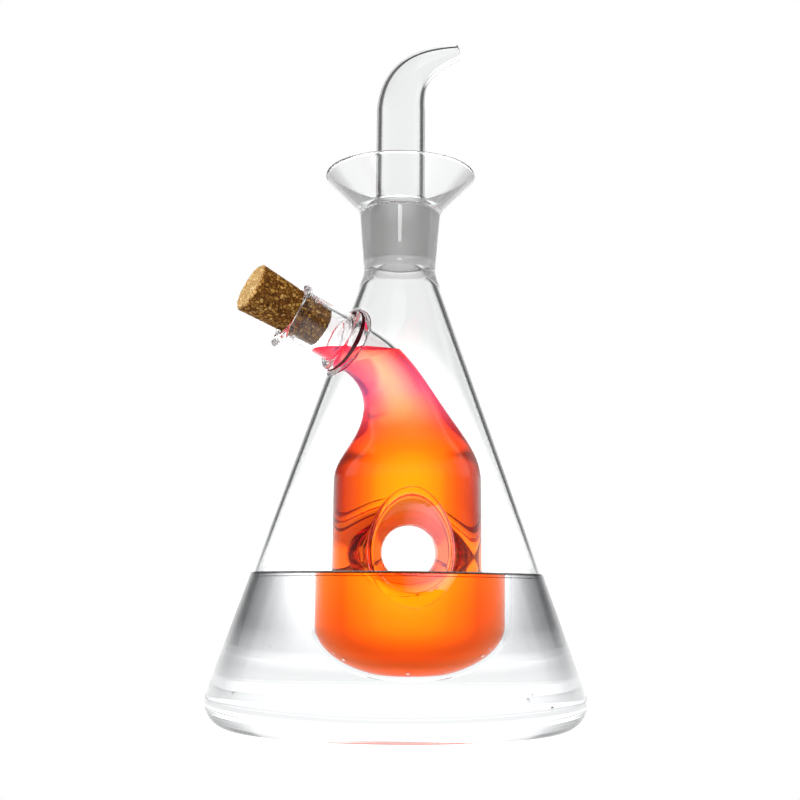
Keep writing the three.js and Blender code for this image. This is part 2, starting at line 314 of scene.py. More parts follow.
def sideFrame(p):
    u = p[:, 0] * sideCos + p[:, 1] * sideSin
    v = p[:, 1] * sideCos - p[:, 0] * sideSin
    return u, v, p[:, 2]


def sideAxis(u, v, z):
    along = (u - sealU) * aheadU + (z - sealZ) * aheadZ
    up = (u - sealU) * aheadZ - (z - sealZ) * aheadU
    return along, up, v


def lipShift(along, up, aside):
    foot = sideNeck["length"] - sideNeck["lipLength"]
    rise = np.clip((along - foot) / sideNeck["lipLength"], 0, 1)
    turn = np.abs(np.arctan2(aside, -up)) / math.radians(sideNeck["lipHalfAngle"])
    pull = rise ** 2 * np.cos(np.minimum(turn, 1) * math.pi / 2) ** 2
    return along - sideNeck["lipDraw"] * pull, up + sideNeck["lipReach"] * pull


def sideTube(along, radius):
    barrel = smoothMax(radius - sideNeck["radius"], along - sideNeck["length"], sideNeck["rimSoften"])
    barrel = np.maximum(barrel, sideNeck["foot"] - along)
    beadR = sideNeck["radius"] + sideNeck["beadRadius"] / 2
    beadZ = sideNeck["length"] - sideNeck["beadRadius"]
    bead = np.hypot(radius - beadR, along - beadZ) - sideNeck["beadRadius"]
    return smoothMin(barrel, bead, sideNeck["beadSoften"])


def sideBoreField(along, radius):
    run = corkStopper["insertion"] + corkStopper["taperPast"]
    widen = np.clip(along - corkFoot, 0, run) * corkStopper["taper"]
    return np.maximum(radius - sideBore - widen, sideNeck["foot"] - sideNeck["boreStart"] - along)


def ringSeal(along, radius):
    nearest = np.clip(along, sideNeck["sealInner"], sideNeck["sealOuter"])
    return np.hypot(radius - sideNeck["sealMiddle"], along - nearest) - sideNeck["sealRound"]


neckPath = np.array((
    (vessel["offset"], shoulderZ),
    (vessel["offset"], shoulderZ + vessel["neckUpright"]),
    (sealU - vessel["neckLeadIn"] * aheadU, sealZ - vessel["neckLeadIn"] * aheadZ),
    (sealU + sideNeck["foot"] * aheadU, sealZ + sideNeck["foot"] * aheadZ),
))


def bezier(points, t):
    a, b, c, d = points
    t = t[:, None]
    s = 1 - t
    place = s ** 3 * a + 3 * s * s * t * b + 3 * s * t * t * c + t ** 3 * d
    first = 3 * s * s * (b - a) + 6 * s * t * (c - b) + 3 * t * t * (d - c)
    second = 6 * s * (c - 2 * b + a) + 6 * t * (d - 2 * c + b)
    return place, first, second


def swell(t):
    def fall(x):
        return 1 / (1 + (np.maximum(x, 1e-6) / vessel["shoulderSpread"]) ** vessel["shoulderPower"])
    return (fall(t) - fall(1.0)) / (1 - fall(1.0))


def neckRadius(t):
    return sideNeck["radius"] + (vessel["radius"] - sideNeck["radius"]) * swell(t)


leastBend = 20.0        # keeps the search steady on the inside of the bend
shareStep = 0.005


def nearestShare(u, z):
    # share of the neck's path that is nearest: the best of a few, then made exact
    here = np.stack((u, z), 1)
    shares = np.linspace(0, 1, 15)
    places = bezier(neckPath, shares)[0]
    best = np.zeros(len(u))
    least = np.full(len(u), 1e12)
    for share, place in zip(shares, places):
        gap = ((here - place) ** 2).sum(1)
        closer = gap < least
        least = np.where(closer, gap, least)
        best = np.where(closer, share, best)
    for _ in range(3):
        place, first, second = bezier(neckPath, best)
        off = place - here
        slope = (off * first).sum(1)
        bend = (first * first).sum(1) + (off * second).sum(1)
        best = np.clip(best - slope / np.maximum(bend, leastBend), 0, 1)
    return best


def vesselLoft(u, v, z, along, radius):
    # domed bottom and straight body
    bodyR = np.hypot(u - vessel["offset"], v)
    domeZ = vessel["bottom"] + vessel["dome"]
    tall = vessel["dome"] / math.cos(math.radians(vessel["domeStart"]))
    down = np.minimum(z - domeZ, 0)
    scaled = np.hypot(bodyR / vessel["radius"], down / tall)
    steep = np.hypot(bodyR / vessel["radius"] ** 2, down / tall ** 2)
    dome = scaled * (scaled - 1) / np.maximum(steep, 1e-6)
    dome = smoothMax(dome, vessel["bottom"] - z, vessel["bottomSoften"])
    body = np.where(z < domeZ, dome, bodyR - vessel["radius"])
    # shoulder and bent neck
    t = nearestShare(u, z)
    place, first, _ = bezier(neckPath, t)
    away = np.sqrt((u - place[:, 0]) ** 2 + (z - place[:, 1]) ** 2 + v ** 2)
    narrowing = (neckRadius(t + shareStep) - neckRadius(t - shareStep)) / (2 * shareStep)
    narrowing /= np.hypot(first[:, 0], first[:, 1])
    neck = (away - neckRadius(t)) / np.sqrt(1 + narrowing ** 2)
    end = np.maximum(radius - sideNeck["radius"], along - vessel["neckEnd"])
    neck = np.where(t >= 1, end, neck)
    return np.where(t <= 0, body, neck)


yawCos = math.cos(math.radians(vessel["tunnelYaw"]))
yawSin = math.sin(math.radians(vessel["tunnelYaw"]))
vesselX = vessel["offset"] * sideCos
vesselY = vessel["offset"] * sideSin


def tunnelFrame(p):
    # across the tunnel, and along it from the vessel's middle to the back
    x, y = p[:, 0] - vesselX, p[:, 1] - vesselY
    return x * yawCos + y * yawSin, y * yawCos - x * yawSin


def tunnelSpace(p):
    # waisted hole right through the vessel; above zero is the open space
    across, deep = tunnelFrame(p)
    share = np.minimum(np.abs(deep) / vessel["radius"], vessel["flareEnd"])
    power = vessel["tunnelPower"]
    mouth = vessel["tunnelRadius"] + vessel["tunnelFlare"] * share ** power
    steep = vessel["tunnelFlare"] * power / vessel["radius"] * share ** (power - 1)
    return (mouth - np.hypot(across, p[:, 2] - tunnelZ)) / np.sqrt(1 + steep ** 2)


tunnelTop = shoulderZ + vessel["tunnelRoom"]


def vesselOutside(p, u, v, z, along, radius):
    # the vessel's outer surface, and the same with the fused ridge round the tunnel's mouths
    loft = vesselLoft(u, v, z, along, radius)
    hole = tunnelSpace(p)
    pierced = np.where(z < tunnelTop, smoothMax(loft, hole, vessel["tunnelSoften"]), loft)
    ridge = np.hypot(loft, hole) - vessel["mouthBead"]
    return pierced, np.where(z < tunnelTop, smoothMin(pierced, ridge, vessel["beadSoften"]), pierced)


farAway = 50.0
vesselRoom = {                            # holds the vessel and the side neck
    "neckSide": -48.0,
    "farSide": 34.0,
    "aside": 32.0,
    "below": 5.0,
    "top": 146.0,
}


def nearVessel(p):
    u, v, z = sideFrame(p)
    near = (u > vesselRoom["neckSide"]) & (u < vesselRoom["farSide"]) & (np.abs(v) < vesselRoom["aside"])
    return near & (z > vessel["bottom"] - vesselRoom["below"]) & (z < vesselRoom["top"])


def innerParts(p):
    # the vessel's outside, the fused side glass and the space for vinegar, far away where neither reaches
    out = np.full(len(p), farAway)
    side = np.full(len(p), farAway)
    space = np.full(len(p), farAway)
    near = nearVessel(p)
    if near.any():
        q = p[near]
        u, v, z = sideFrame(q)
        along, up, aside = sideAxis(u, v, z)
        radius = np.hypot(up, aside)
        pulledAlong, pulledUp = lipShift(along, up, aside)
        pulledRadius = np.hypot(pulledUp, aside)
        outside, beaded = vesselOutside(q, u, v, z, along, radius)
        tube = sideTube(pulledAlong, pulledRadius)
        out[near] = beaded
        side[near] = smoothMin(tube, ringSeal(along, radius), sideNeck["soften"])
        bore = sideBoreField(pulledAlong, pulledRadius)
        space[near] = smoothMin(outside + vessel["wall"], bore, vessel["spaceSoften"])
    return out, side, space


def glassField(p):
    r = np.hypot(p[:, 0], p[:, 1])
    solid = flaskShell(r, p[:, 2])
    out, side, space = innerParts(p)
    solid = smoothMin(solid, side, sideNeck["soften"])
    solid = smoothMin(solid, out, vessel["fuseSoften"])
    return smoothMax(solid, -space, vessel["spaceEdge"])


def oilField(p):
    r = np.hypot(p[:, 0], p[:, 1])
    out = innerParts(p)[0]
    return np.maximum(flaskInside(r, p[:, 2]), -out) + liquids["film"]


def vinegarField(p):
    u, v, z = sideFrame(p)
    along = sideAxis(u, v, z)[0]
    return np.maximum(innerParts(p)[2], along - corkFoot) + liquids["film"]


def slopeOf(field, p, reach=0.06):
    # four-point slope
    corners = np.array(((1, -1, -1), (-1, -1, 1), (-1, 1, -1), (1, 1, 1)), float)
    total = np.zeros_like(p)
    for corner in corners:
        total += field(p + reach * corner)[:, None] * corner
    return total / (4 * reach)


leastSlope = 0.05
shadeReach = 0.12       # slopes for shading are taken over a wider step


def pullOnto(field, points, limit, rounds):
    # moves points onto a field's surface, each time by the limit at most
    for _ in range(rounds):
        slope = slopeOf(field, points)
        step = field(points)[:, None] * slope / np.maximum((slope ** 2).sum(1), leastSlope)[:, None]
        points = points - np.clip(step, -limit, limit)
    return points


def unitLength(vectors):
    return vectors / np.maximum(np.linalg.norm(vectors, axis=1), 1e-12)[:, None]


# Meshes

cubeCorners = [(i, j, k) for i in (0, 1) for j in (0, 1) for k in (0, 1)]
cubeEdges = [(a, b) for a in range(8) for b in range(a + 1, 8)
             if sum(abs(m - n) for m, n in zip(cubeCorners[a], cubeCorners[b])) == 1]


def valuesAt(field, places):
    chunk = 150000
    return np.concatenate([field(places[i:i + chunk]) for i in range(0, len(places), chunk)])


blockReach = 1.6        # blocks whose corners are farther than this many blocks from a surface stay coarse


def sampledField(field, low, high, cell, stride=4):
    # coarse samples first, then fine ones only in the blocks that a surface may cross
    blocks = [int(math.ceil((b - a) / cell / stride)) for a, b in zip(low, high)]
    coarse = np.stack(np.meshgrid(*[np.arange(n + 1) for n in blocks], indexing="ij"), -1)
    rough = valuesAt(field, np.array(low) + coarse.reshape(-1, 3) * cell * stride)
    rough = rough.reshape(coarse.shape[:3])
    least = np.full(blocks, np.inf)
    for i, j, k in cubeCorners:
        least = np.minimum(least, np.abs(rough[i:blocks[0] + i, j:blocks[1] + j, k:blocks[2] + k]))
    near = least < cell * stride * blockReach
    values = rough[:-1, :-1, :-1].astype(np.float32)
    fine = near
    for axis in range(3):
        values = np.repeat(values, stride, axis)
        fine = np.repeat(fine, stride, axis)
    grown = np.zeros([n * stride + 1 for n in blocks], bool)
    for i, j, k in cubeCorners:
        grown[i:i + fine.shape[0], j:j + fine.shape[1], k:k + fine.shape[2]] |= fine
    values = np.pad(values, ((0, 1),) * 3, "edge")
    at = np.argwhere(grown)
    values[grown] = valuesAt(field, np.array(low) + at * cell)
    return values


def meshOfField(field, low, high, cell):
    # one vertex in each crossed cell, pulled onto the surface
    values = sampledField(field, low, high, cell)
    nx, ny, nz = values.shape
    inside = values < 0
    count = np.zeros((nx - 1, ny - 1, nz - 1), np.int8)
    for i, j, k in cubeCorners:
        count += inside[i:nx - 1 + i, j:ny - 1 + j, k:nz - 1 + k]
    crossed = (count > 0) & (count < 8)
    cells = np.argwhere(crossed)
    number = np.full(crossed.shape, -1, np.int64)
    number[crossed] = np.arange(len(cells))
    held = np.stack([values[cells[:, 0] + i, cells[:, 1] + j, cells[:, 2] + k] for i, j, k in cubeCorners], 1)
    total = np.zeros((len(cells), 3))
    hits = np.zeros(len(cells))
    for a, b in cubeEdges:
        cut = (held[:, a] < 0) != (held[:, b] < 0)
        share = np.where(cut, held[:, a] / np.where(cut, held[:, a] - held[:, b], 1), 0)
        start = np.array(cubeCorners[a], float)
        end = np.array(cubeCorners[b], float)
        total += np.where(cut[:, None], start + share[:, None] * (end - start), 0)
        hits += cut
    points = np.array(low) + cell * (cells + total / hits[:, None])
    points = pullOnto(field, points, cell / 2, 2)
    quads = []
    for axis in range(3):
        first = [slice(None)] * 3
        second = [slice(None)] * 3
        first[axis] = slice(0, -1)
        second[axis] = slice(1, None)
        changes = np.argwhere(inside[tuple(first)] != inside[tuple(second)])
        one, two = [a for a in range(3) if a != axis]
        limits = np.array(inside.shape) - 1
        keep = (changes[:, one] > 0) & (changes[:, two] > 0)
        keep &= (changes[:, one] < limits[one]) & (changes[:, two] < limits[two])
        changes = changes[keep]
        ring = []
        for da, db in ((1, 1), (0, 1), (0, 0), (1, 0)):
            at = changes.copy()
            at[:, one] -= da
            at[:, two] -= db
            ring.append(number[at[:, 0], at[:, 1], at[:, 2]])
        ring = np.stack(ring, 1)
        outward = inside[changes[:, 0], changes[:, 1], changes[:, 2]]
        if axis == 1:
            outward = ~outward
        ring[~outward] = ring[~outward][:, ::-1]
        quads.append(ring)
    return points, np.concatenate(quads)


def newMesh(name, points, faces):
    # points in millimetres, faces an array of quads
    mesh = bpy.data.meshes.new(name)
    mesh.vertices.add(len(points))
    mesh.vertices.foreach_set("co", (np.asarray(points) * mm).ravel())
    faces = np.asarray(faces)
    mesh.loops.add(faces.size)
    mesh.loops.foreach_set("vertex_index", faces.ravel().astype(np.int32))
    mesh.polygons.add(len(faces))
    mesh.polygons.foreach_set("loop_start", np.arange(0, faces.size, faces.shape[1], dtype=np.int32))
    mesh.update(calc_edges=True)
    mesh.validate()
    return mesh


def newPiece(name, mesh, body, slotName, *nodes):
    piece = bpy.data.objects.new(name, mesh)
    bpy.context.scene.collection.objects.link(piece)
    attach(piece, body)
    if nodes:
        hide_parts(*nodes)
    return piece


def pointsOf(mesh):
    flat = np.empty(len(mesh.vertices) * 3)
    mesh.vertices.foreach_get("co", flat)
    return flat.reshape(-1, 3) / mm


def facesOf(mesh):
    centres = np.empty(len(mesh.polygons) * 3)
    normals = np.empty(len(mesh.polygons) * 3)
    mesh.polygons.foreach_get("center", centres)
    mesh.polygons.foreach_get("normal", normals)
    return centres.reshape(-1, 3) / mm, normals.reshape(-1, 3)


def markPoints(mesh, name, values):
    mark = mesh.attributes.new(name, "FLOAT", "POINT")
    mark.data.foreach_set("value", values.astype(np.float32))


def shadeSmooth(mesh):
    mesh.polygons.foreach_set("use_smooth", np.ones(len(mesh.polygons), bool))


def smoothByField(mesh, field):
    shadeSmooth(mesh)
    normals = unitLength(slopeOf(field, pointsOf(mesh), shadeReach))
    mesh.normals_split_custom_set_from_vertices(normals)


def contactLine(top):
    return top - liquids["sag"] + liquids["climb"]


def cutLevel(bm, z, dropAbove):
    everything = bm.verts[:] + bm.edges[:] + bm.faces[:]
    made = bmesh.ops.bisect_plane(
        bm, geom=everything, dist=1e-8, plane_co=(0, 0, z * mm), plane_no=(0, 0, 1), clear_outer=dropAbove)
    return [e for e in made["geom_cut"] if isinstance(e, bmesh.types.BMEdge)]


def markLevels(mesh, *heights):
    # clean edges where the glass changes from wet to dry
    bm = bmesh.new()
    bm.from_mesh(mesh)
    for z in heights:
        cutLevel(bm, z, False)
    bm.to_mesh(mesh)
    bm.free()


def atLevel(flat, z):
    return np.column_stack((flat, np.full(len(flat), z)))


def surfacePoints(field, shore, z):
    # points over a liquid's open surface, closer together at the glass, and their distance from it
    inward = -unitLength(slopeOf(field, atLevel(shore, z), shadeReach)[:, :2])
    found = []
    for step in liquids["shoreSteps"]:
        tried = shore + inward * step
        found.append(tried[-field(atLevel(tried, z)) > step * liquids["shoreRoom"]])
    xs, ys = [np.arange(low, high, liquids["gridStep"]) for low, high in zip(shore.min(0), shore.max(0))]
    grid = np.stack(np.meshgrid(xs, ys), -1).reshape(-1, 2)
    found.append(grid[-field(atLevel(grid, z)) > liquids["gridRoom"]])
    found = np.concatenate(found)
    return found, -field(atLevel(found, z))


def closeSurface(mesh, field, top):
    # cuts a liquid at its contact line and closes it with a surface that climbs at the glass
    z = contactLine(top)
    bm = bmesh.new()
    bm.from_mesh(mesh)
    shoreEdges = cutLevel(bm, z, True)
    shoreVerts = list({v for e in shoreEdges for v in e.verts})
    number = {v: i for i, v in enumerate(shoreVerts)}
    shore = np.array([(v.co.x, v.co.y) for v in shoreVerts]) / mm
    found, gaps = surfacePoints(field, shore, z)
    level = top - liquids["sag"]
    heights = level + liquids["climb"] * np.exp(-gaps / liquids["spread"])
    flat = [Vector(q) for q in np.concatenate((shore, found))]
    pairs = [tuple(number[v] for v in e.verts) for e in shoreEdges]
    made = geometry.delaunay_2d_cdt(flat, pairs, [], 0, 1e-6, True)
    verts = []
    for place, origins in zip(made[0], made[3]):
        origin = min(origins) if origins else -1
        if 0 <= origin < len(shoreVerts):
            verts.append(shoreVerts[origin])
        else:
            height = heights[origin - len(shoreVerts)] if origin >= 0 else z
            verts.append(bm.verts.new((place.x * mm, place.y * mm, height * mm)))
    corners = np.array([list(t) for t in made[2]])
    middles = np.array([tuple(q) for q in made[0]])[corners].mean(1)
    fromGlass = -field(atLevel(middles, z))
    wet = fromGlass > -liquids["edgeSlack"]
    mark = bm.faces.layers.float.new("openSurface")
    # faces near the glass carry the painted shade line
    shoreShadeLayer = bm.faces.layers.float.new("shoreShadeMark")
    for triangle, gap in zip(corners[wet], fromGlass[wet]):
        face = bm.faces.new([verts[i] for i in triangle])
        face[mark] = 1.0
        face[shoreShadeLayer] = float(gap < liquids["shoreShadeWidth"])
    bmesh.ops.delete(bm, geom=[v for v in bm.verts if not v.link_faces], context="VERTS")
    bmesh.ops.recalc_face_normals(bm, faces=bm.faces[:])
    bm.to_mesh(mesh)
    bm.free()


# Materials


def feed(tree, node, inputs):
    # links an input where it is given a socket, and sets it where it is given a value
    for name, value in inputs.items():
        if isinstance(value, bpy.types.NodeSocket):
            tree.links.new(value, node.inputs[name])
        else:
            node.inputs[name].default_value = value


def addNode(tree, kind, inputs=None, **settings):
    node = tree.nodes.new("ShaderNode" + kind)
    for name, value in settings.items():
        setattr(node, name, value)
    feed(tree, node, inputs or {})
    return node


def newMaterial(name):
    material = bpy.data.materials.new(name)
    material.use_nodes = True
    tree = material.node_tree
    tree.nodes.clear()
    shader = addNode(tree, "BsdfPrincipled")
    output = addNode(tree, "OutputMaterial", {"Surface": shader.outputs[0]})
    return material, tree, shader, output


def setColour(material, colour):
    tree = material.node_tree
    feed(tree, tree.nodes["Principled BSDF"], {"Base Color": colour})
    return material


def placeOf(tree, space="Object"):
    # coordinates, whole and split
    place = addNode(tree, "TexCoord").outputs[space]
    return place, addNode(tree, "SeparateXYZ", {0: place}).outputs


def markOf(tree, name):
    return addNode(tree, "Attribute", attribute_name=name).outputs["Fac"]


def rampOf(tree, share, stops, easing="LINEAR"):
    ramp = addNode(tree, "ValToRGB", {"Fac": share})
    ramp.color_ramp.interpolation = easing
    for i, (position, colour) in enumerate(stops):
        stop = ramp.color_ramp.elements[i] if i < 2 else ramp.color_ramp.elements.new(position)
        stop.position = position
        stop.color = colour
    return ramp.outputs["Color"]


def mapRange(tree, value, start, end, low=0.0, high=1.0, smooth=False):
    node = addNode(tree, "MapRange", {
        "Value": value, "From Min": start, "From Max": end, "To Min": low, "To Max": high})
    if smooth:
        node.interpolation_type = "SMOOTHSTEP"
    return node.outputs["Result"]


# The mix node's sockets go by number, because its float and colour ones share names


def mixShades(tree, share, first, second):
    return addNode(tree, "Mix", {0: share, 2: first, 3: second}).outputs[0]


def mixColours(tree, share, first, second, blend="MIX"):
    mix = addNode(tree, "Mix", {0: share, 6: first, 7: second}, data_type="RGBA", blend_type=blend)
    return mix.outputs[2]


def maths(tree, operation, *values):
    return addNode(tree, "Math", dict(enumerate(values)), operation=operation).outputs[0]


def roughen(tree, grain):
    # noise over a surface, and the bump that it makes
    place = addNode(tree, "TexCoord").outputs["Object"]
    noise = addNode(tree, "TexNoise", {"Vector": place, "Scale": grain["scale"], "Detail": grain["detail"]})
    bump = addNode(tree, "Bump", {
        "Height": noise.outputs["Fac"], "Strength": grain["strength"], "Distance": grain["depth"] * mm})
    return noise.outputs["Fac"], bump.outputs["Normal"]


def paintedEdgeShade(tree, stops):
    # painted shade: colour darkened by how far a surface is turned away, standing in for the dark edges that
    # refraction gives glass
    turned = addNode(tree, "LayerWeight", {"Blend": 0.5})
    return rampOf(tree, turned.outputs["Facing"], stops)


def grey(value):
    return (value, value, value, 1)


clearTint = (0.985, 0.992, 0.992, 1)

blownGlass = {
    "wetEdgeShade": (               # facing (0) to edge-on, painted edge shade of the wet wall
        (0.0, grey(1)),
        (0.1, grey(1)),
        (0.15, (0.9, 0.9, 0.91, 1)),
        (0.194, (0.72, 0.72, 0.73, 1)),
        (0.2275, (0.5, 0.5, 0.51, 1)),
        (0.27, (0.32, 0.32, 0.325, 1)),
        (0.32, (0.24, 0.24, 0.245, 1)),
    ),
    "wetShadeFades": (3.0, 20.0),    # heights between which that painted shade comes in
    "funnelEdges": (            # the same painted edge shade for the thin glass of the funnel and the spout
        (0.0, clearTint),
        (0.4, clearTint),
        (0.52, grey(0.55)),
        (0.65, grey(0.2)),
        (0.8, grey(0.06)),
        (1.0, grey(0.02)),
    ),
    "spoutEdgeShade": (
        (0.0, clearTint),
        (0.55, clearTint),
        (0.7, grey(0.72)),
        (0.82, grey(0.32)),
        (0.92, grey(0.12)),
        (1.0, grey(0.06)),
    ),
    # painted shade: near-black glass in lines below the oil's contact line
    "shore": (0.04, 0.04, 0.042, 1),
    # painted shade: dark wine-red line where the tunnel meets the body
    "seam": (0.4, 0.05, 0.06, 1),
    "ior": 1.48,
    "waterIor": 1.333,
    "waves": {"scale": 45.0, "detail": 1.5, "strength": 0.06, "depth": 0.6},  # slow hand-blown waviness
}
wetIor = blownGlass["ior"] / blownGlass["waterIor"]


def makeGlass(name, ior, colour=clearTint):
    material, tree, shader, _ = newMaterial(name)
    _, normal = roughen(tree, blownGlass["waves"])
    feed(tree, shader, {
        "Base Color": colour,
        "Transmission Weight": 1.0,
        "Roughness": 0.0,
        "IOR": ior,
        "Normal": normal,
    })
    return material


def makeShadedWetWall():
    # painted shade: the wet flask wall greys towards its edges, faded in with height
    material = makeGlass("wet_wall_edge_shade", wetIor)
    tree = material.node_tree
    low, high = blownGlass["wetShadeFades"]
    height = mapRange(tree, placeOf(tree)[1]["Z"], low * mm, high * mm)
    return setColour(material, mixColours(tree, height, clearTint, paintedEdgeShade(tree, blownGlass["wetEdgeShade"])))


def makeThinGlass(name, stops):
    # painted shade: thin glass darkened towards its edges
    material = makeGlass(name, blownGlass["ior"])
    return setColour(material, paintedEdgeShade(material.node_tree, stops))


paintedBaseReflection = {                    # painted reflection: the vinegar's red image in the lowest part of the base's front corner
    "colour": (0.6, 0.05, 0.03, 1),
    "height": 2.6,
    "width": 19.0,
    "inset": 2.0,
    "least": 0.01,
}


def paintedReflectionAt(p):
    height = np.clip(1 - p[:, 2] / paintedBaseReflection["height"], 0, 1)
    middle = np.clip(1 - (p[:, 0] / paintedBaseReflection["width"]) ** 2, 0, 1)
    inFront = (p[:, 1] < 0) & (np.hypot(p[:, 0], p[:, 1]) > cornerR - paintedBaseReflection["inset"])
    return np.sqrt(height * middle) * inFront


def makePaintedReflectionGlass():
    material = makeGlass("base_reflection_glass", blownGlass["ior"])
    tree = material.node_tree
    stops = ((0.0, clearTint), (1.0, paintedBaseReflection["colour"]))
    return setColour(material, rampOf(tree, markOf(tree, "glow"), stops))


frosting = {
    "colour": (0.86, 0.86, 0.855, 1),
    "clearness": 0.7,
    "ior": 1.48,
    "roughness": (0.34, 0.5),
    "grain": {"scale": 2600.0, "detail": 2.0, "strength": 0.25, "depth": 0.06},
}


def makeGroundGlass():
    material, tree, shader, _ = newMaterial("ground_glass")
    grain, normal = roughen(tree, frosting["grain"])
    feed(tree, shader, {
        "Base Color": frosting["colour"],
        "Transmission Weight": frosting["clearness"],
        "IOR": frosting["ior"],
        "Roughness": mapRange(tree, grain, 0.0, 1.0, *frosting["roughness"]),
        "Normal": normal,
    })
    return material


def bendAtSurface(tree, shader):
    # only the open surface bends light; where liquid wets glass, the glass already does
    shader.inputs["IOR"].default_value = blownGlass["waterIor"]
    bend = mapRange(tree, markOf(tree, "openSurface"), 0.0, 1.0, 1.0, blownGlass["waterIor"])
    feed(tree, shader, {"IOR": bend, "Transmission Weight": 1.0, "Roughness": 0.0})


oilLook = {
    # painted shade: the open surface darkens in a line along the glass
    "shore": ((0.0, (0.99, 0.995, 1.0, 1)), (1.0, grey(0.05))),
}


def makeOilLiquid():
    material, tree, shader, _ = newMaterial("clear_liquid")
    bendAtSurface(tree, shader)
    shore = rampOf(tree, markOf(tree, "shoreShadeMark"), oilLook["shore"])
    # painted shade line, on its colour and its gloss
    feed(tree, shader, {"Base Color": shore, "Specular Tint": shore})
    return material


vinegarLook = {
    "absorb": (1.0, 0.78, 0.05, 1),
    "density": 150.0,
    "tints": (                  # share of height, colour
        (0.0, (1.0, 1.0, 0.7, 1)),
        (0.3, (1.0, 0.95, 0.8, 1)),
        (0.55, grey(1)),
        (0.72, grey(1)),
        (0.88, (1.0, 0.5, 0.9, 1)),
        (1.0, (1.0, 0.42, 0.66, 1)),
    ),
    "neckGlow": (                   # painted glow: faint pink emission in the neck
        (0.0, grey(0)),
        (0.7, grey(0)),
        (0.76, (0.1, 0.02, 0.03, 1)),
        (0.81, (0.2, 0.07, 0.13, 1)),
        (0.88, (0.25, 0.08, 0.24, 1)),
        (0.95, (0.2, 0.06, 0.18, 1)),
        (1.0, (0.08, 0.0, 0.02, 1)),
    ),
    "edges": (                  # painted shade: facing (0) to edge-on, redder and darker towards the edges
        (0.0, grey(1)),
        (0.05, (1, 0.78, 0.9, 1)),
        (0.1, (1, 0.54, 0.75, 1)),
        (0.2, (1, 0.3, 0.3, 1)),
        (0.25, (1, 0.22, 0.18, 1)),
        (0.3, (0.85, 0.12, 0.1, 1)),
    ),
    "edgeShadeLow": 0.88,           # share of the painted edge shade at the bottom; it is full above the second height
    "edgeShadeRise": (0.42, 0.55),
    # painted reflection: pink emission on the tunnel wall where it mirrors the paper
    "tunnelReflectionPink": (0.3, 0.16, 0.22, 1),
    "pinkInset": 3.0,           # from the tunnel's mouths
    "pinkAcross": (-3.0, 9.0),  # where it starts, and the width over which it comes in
    "pinkDeep": 6.0,
}


def makeVinegarLiquid():
    material, tree, shader, output = newMaterial("orange_liquid")
    bendAtSurface(tree, shader)
    height = mapRange(tree, placeOf(tree)[1]["Z"], vessel["bottom"] * mm, liquids["vinegarTop"] * mm)
    tint = rampOf(tree, height, vinegarLook["tints"])
    # painted shade: redder, darker edges
    edges = paintedEdgeShade(tree, vinegarLook["edges"])
    edgeShadeShare = mapRange(tree, height, *vinegarLook["edgeShadeRise"], vinegarLook["edgeShadeLow"])
    neckGlow = rampOf(tree, height, vinegarLook["neckGlow"])
    tunnelReflection = markOf(tree, "tunnelReflectionMark")
    absorb = addNode(tree, "VolumeAbsorption", {
        "Color": vinegarLook["absorb"], "Density": vinegarLook["density"]})
    feed(tree, shader, {
        "Base Color": mixColours(tree, edgeShadeShare, tint, edges, "MULTIPLY"),
        # painted glow in the neck and painted reflection on the tunnel wall, both as emission
        "Emission Color": mixColours(tree, tunnelReflection, neckGlow, vinegarLook["tunnelReflectionPink"], "ADD"),
        "Emission Strength": 1.0,
    })
    feed(tree, output, {"Volume": absorb.outputs["Volume"]})
    return material


def markTunnelReflection(mesh):
    # painted reflection: the right-hand side of the tunnel's front half, where the paper's image is painted
    # on as pink emission
    p = pointsOf(mesh)
    across, deep = tunnelFrame(p)
    wall = np.clip((tunnelSpace(p) + 2 * vessel["wall"]) / vessel["wall"], 0, 1)
    wall = wall * (np.abs(deep) < vessel["radius"] - vinegarLook["pinkInset"])
    start, width = vinegarLook["pinkAcross"]
    right = np.clip((across - start) / width, 0, 1)
    front = np.clip((vinegarLook["pinkDeep"] - deep) / vinegarLook["pinkDeep"], 0, 1)
    markPoints(mesh, "tunnelReflectionMark", wall * right * front)


corkLook = {
    "granules": 820.0,          # granules per metre
    "granuleTone": 0.6,
    "gap": 0.12,                # width of the dark seams, as a share of a granule
    "specks": 2600.0,
    "speckDetail": 3.0,
    "speckTone": 0.55,
    "side": (
        (0.0, (0.05, 0.014, 0.002, 1)),
        (0.4, (0.27, 0.1, 0.015, 1)),
        (0.75, (0.58, 0.29, 0.06, 1)),
        (1.0, (0.88, 0.56, 0.2, 1)),
    ),
    "end": ((0.0, (0.28, 0.14, 0.045, 1)), (0.5, (0.56, 0.36, 0.14, 1)), (1.0, (0.76, 0.57, 0.3, 1))),
    "roughness": 0.88,
    "shine": 0.25,
    "bumpStrength": 0.8,
    "bumpDepth": 0.3,
}


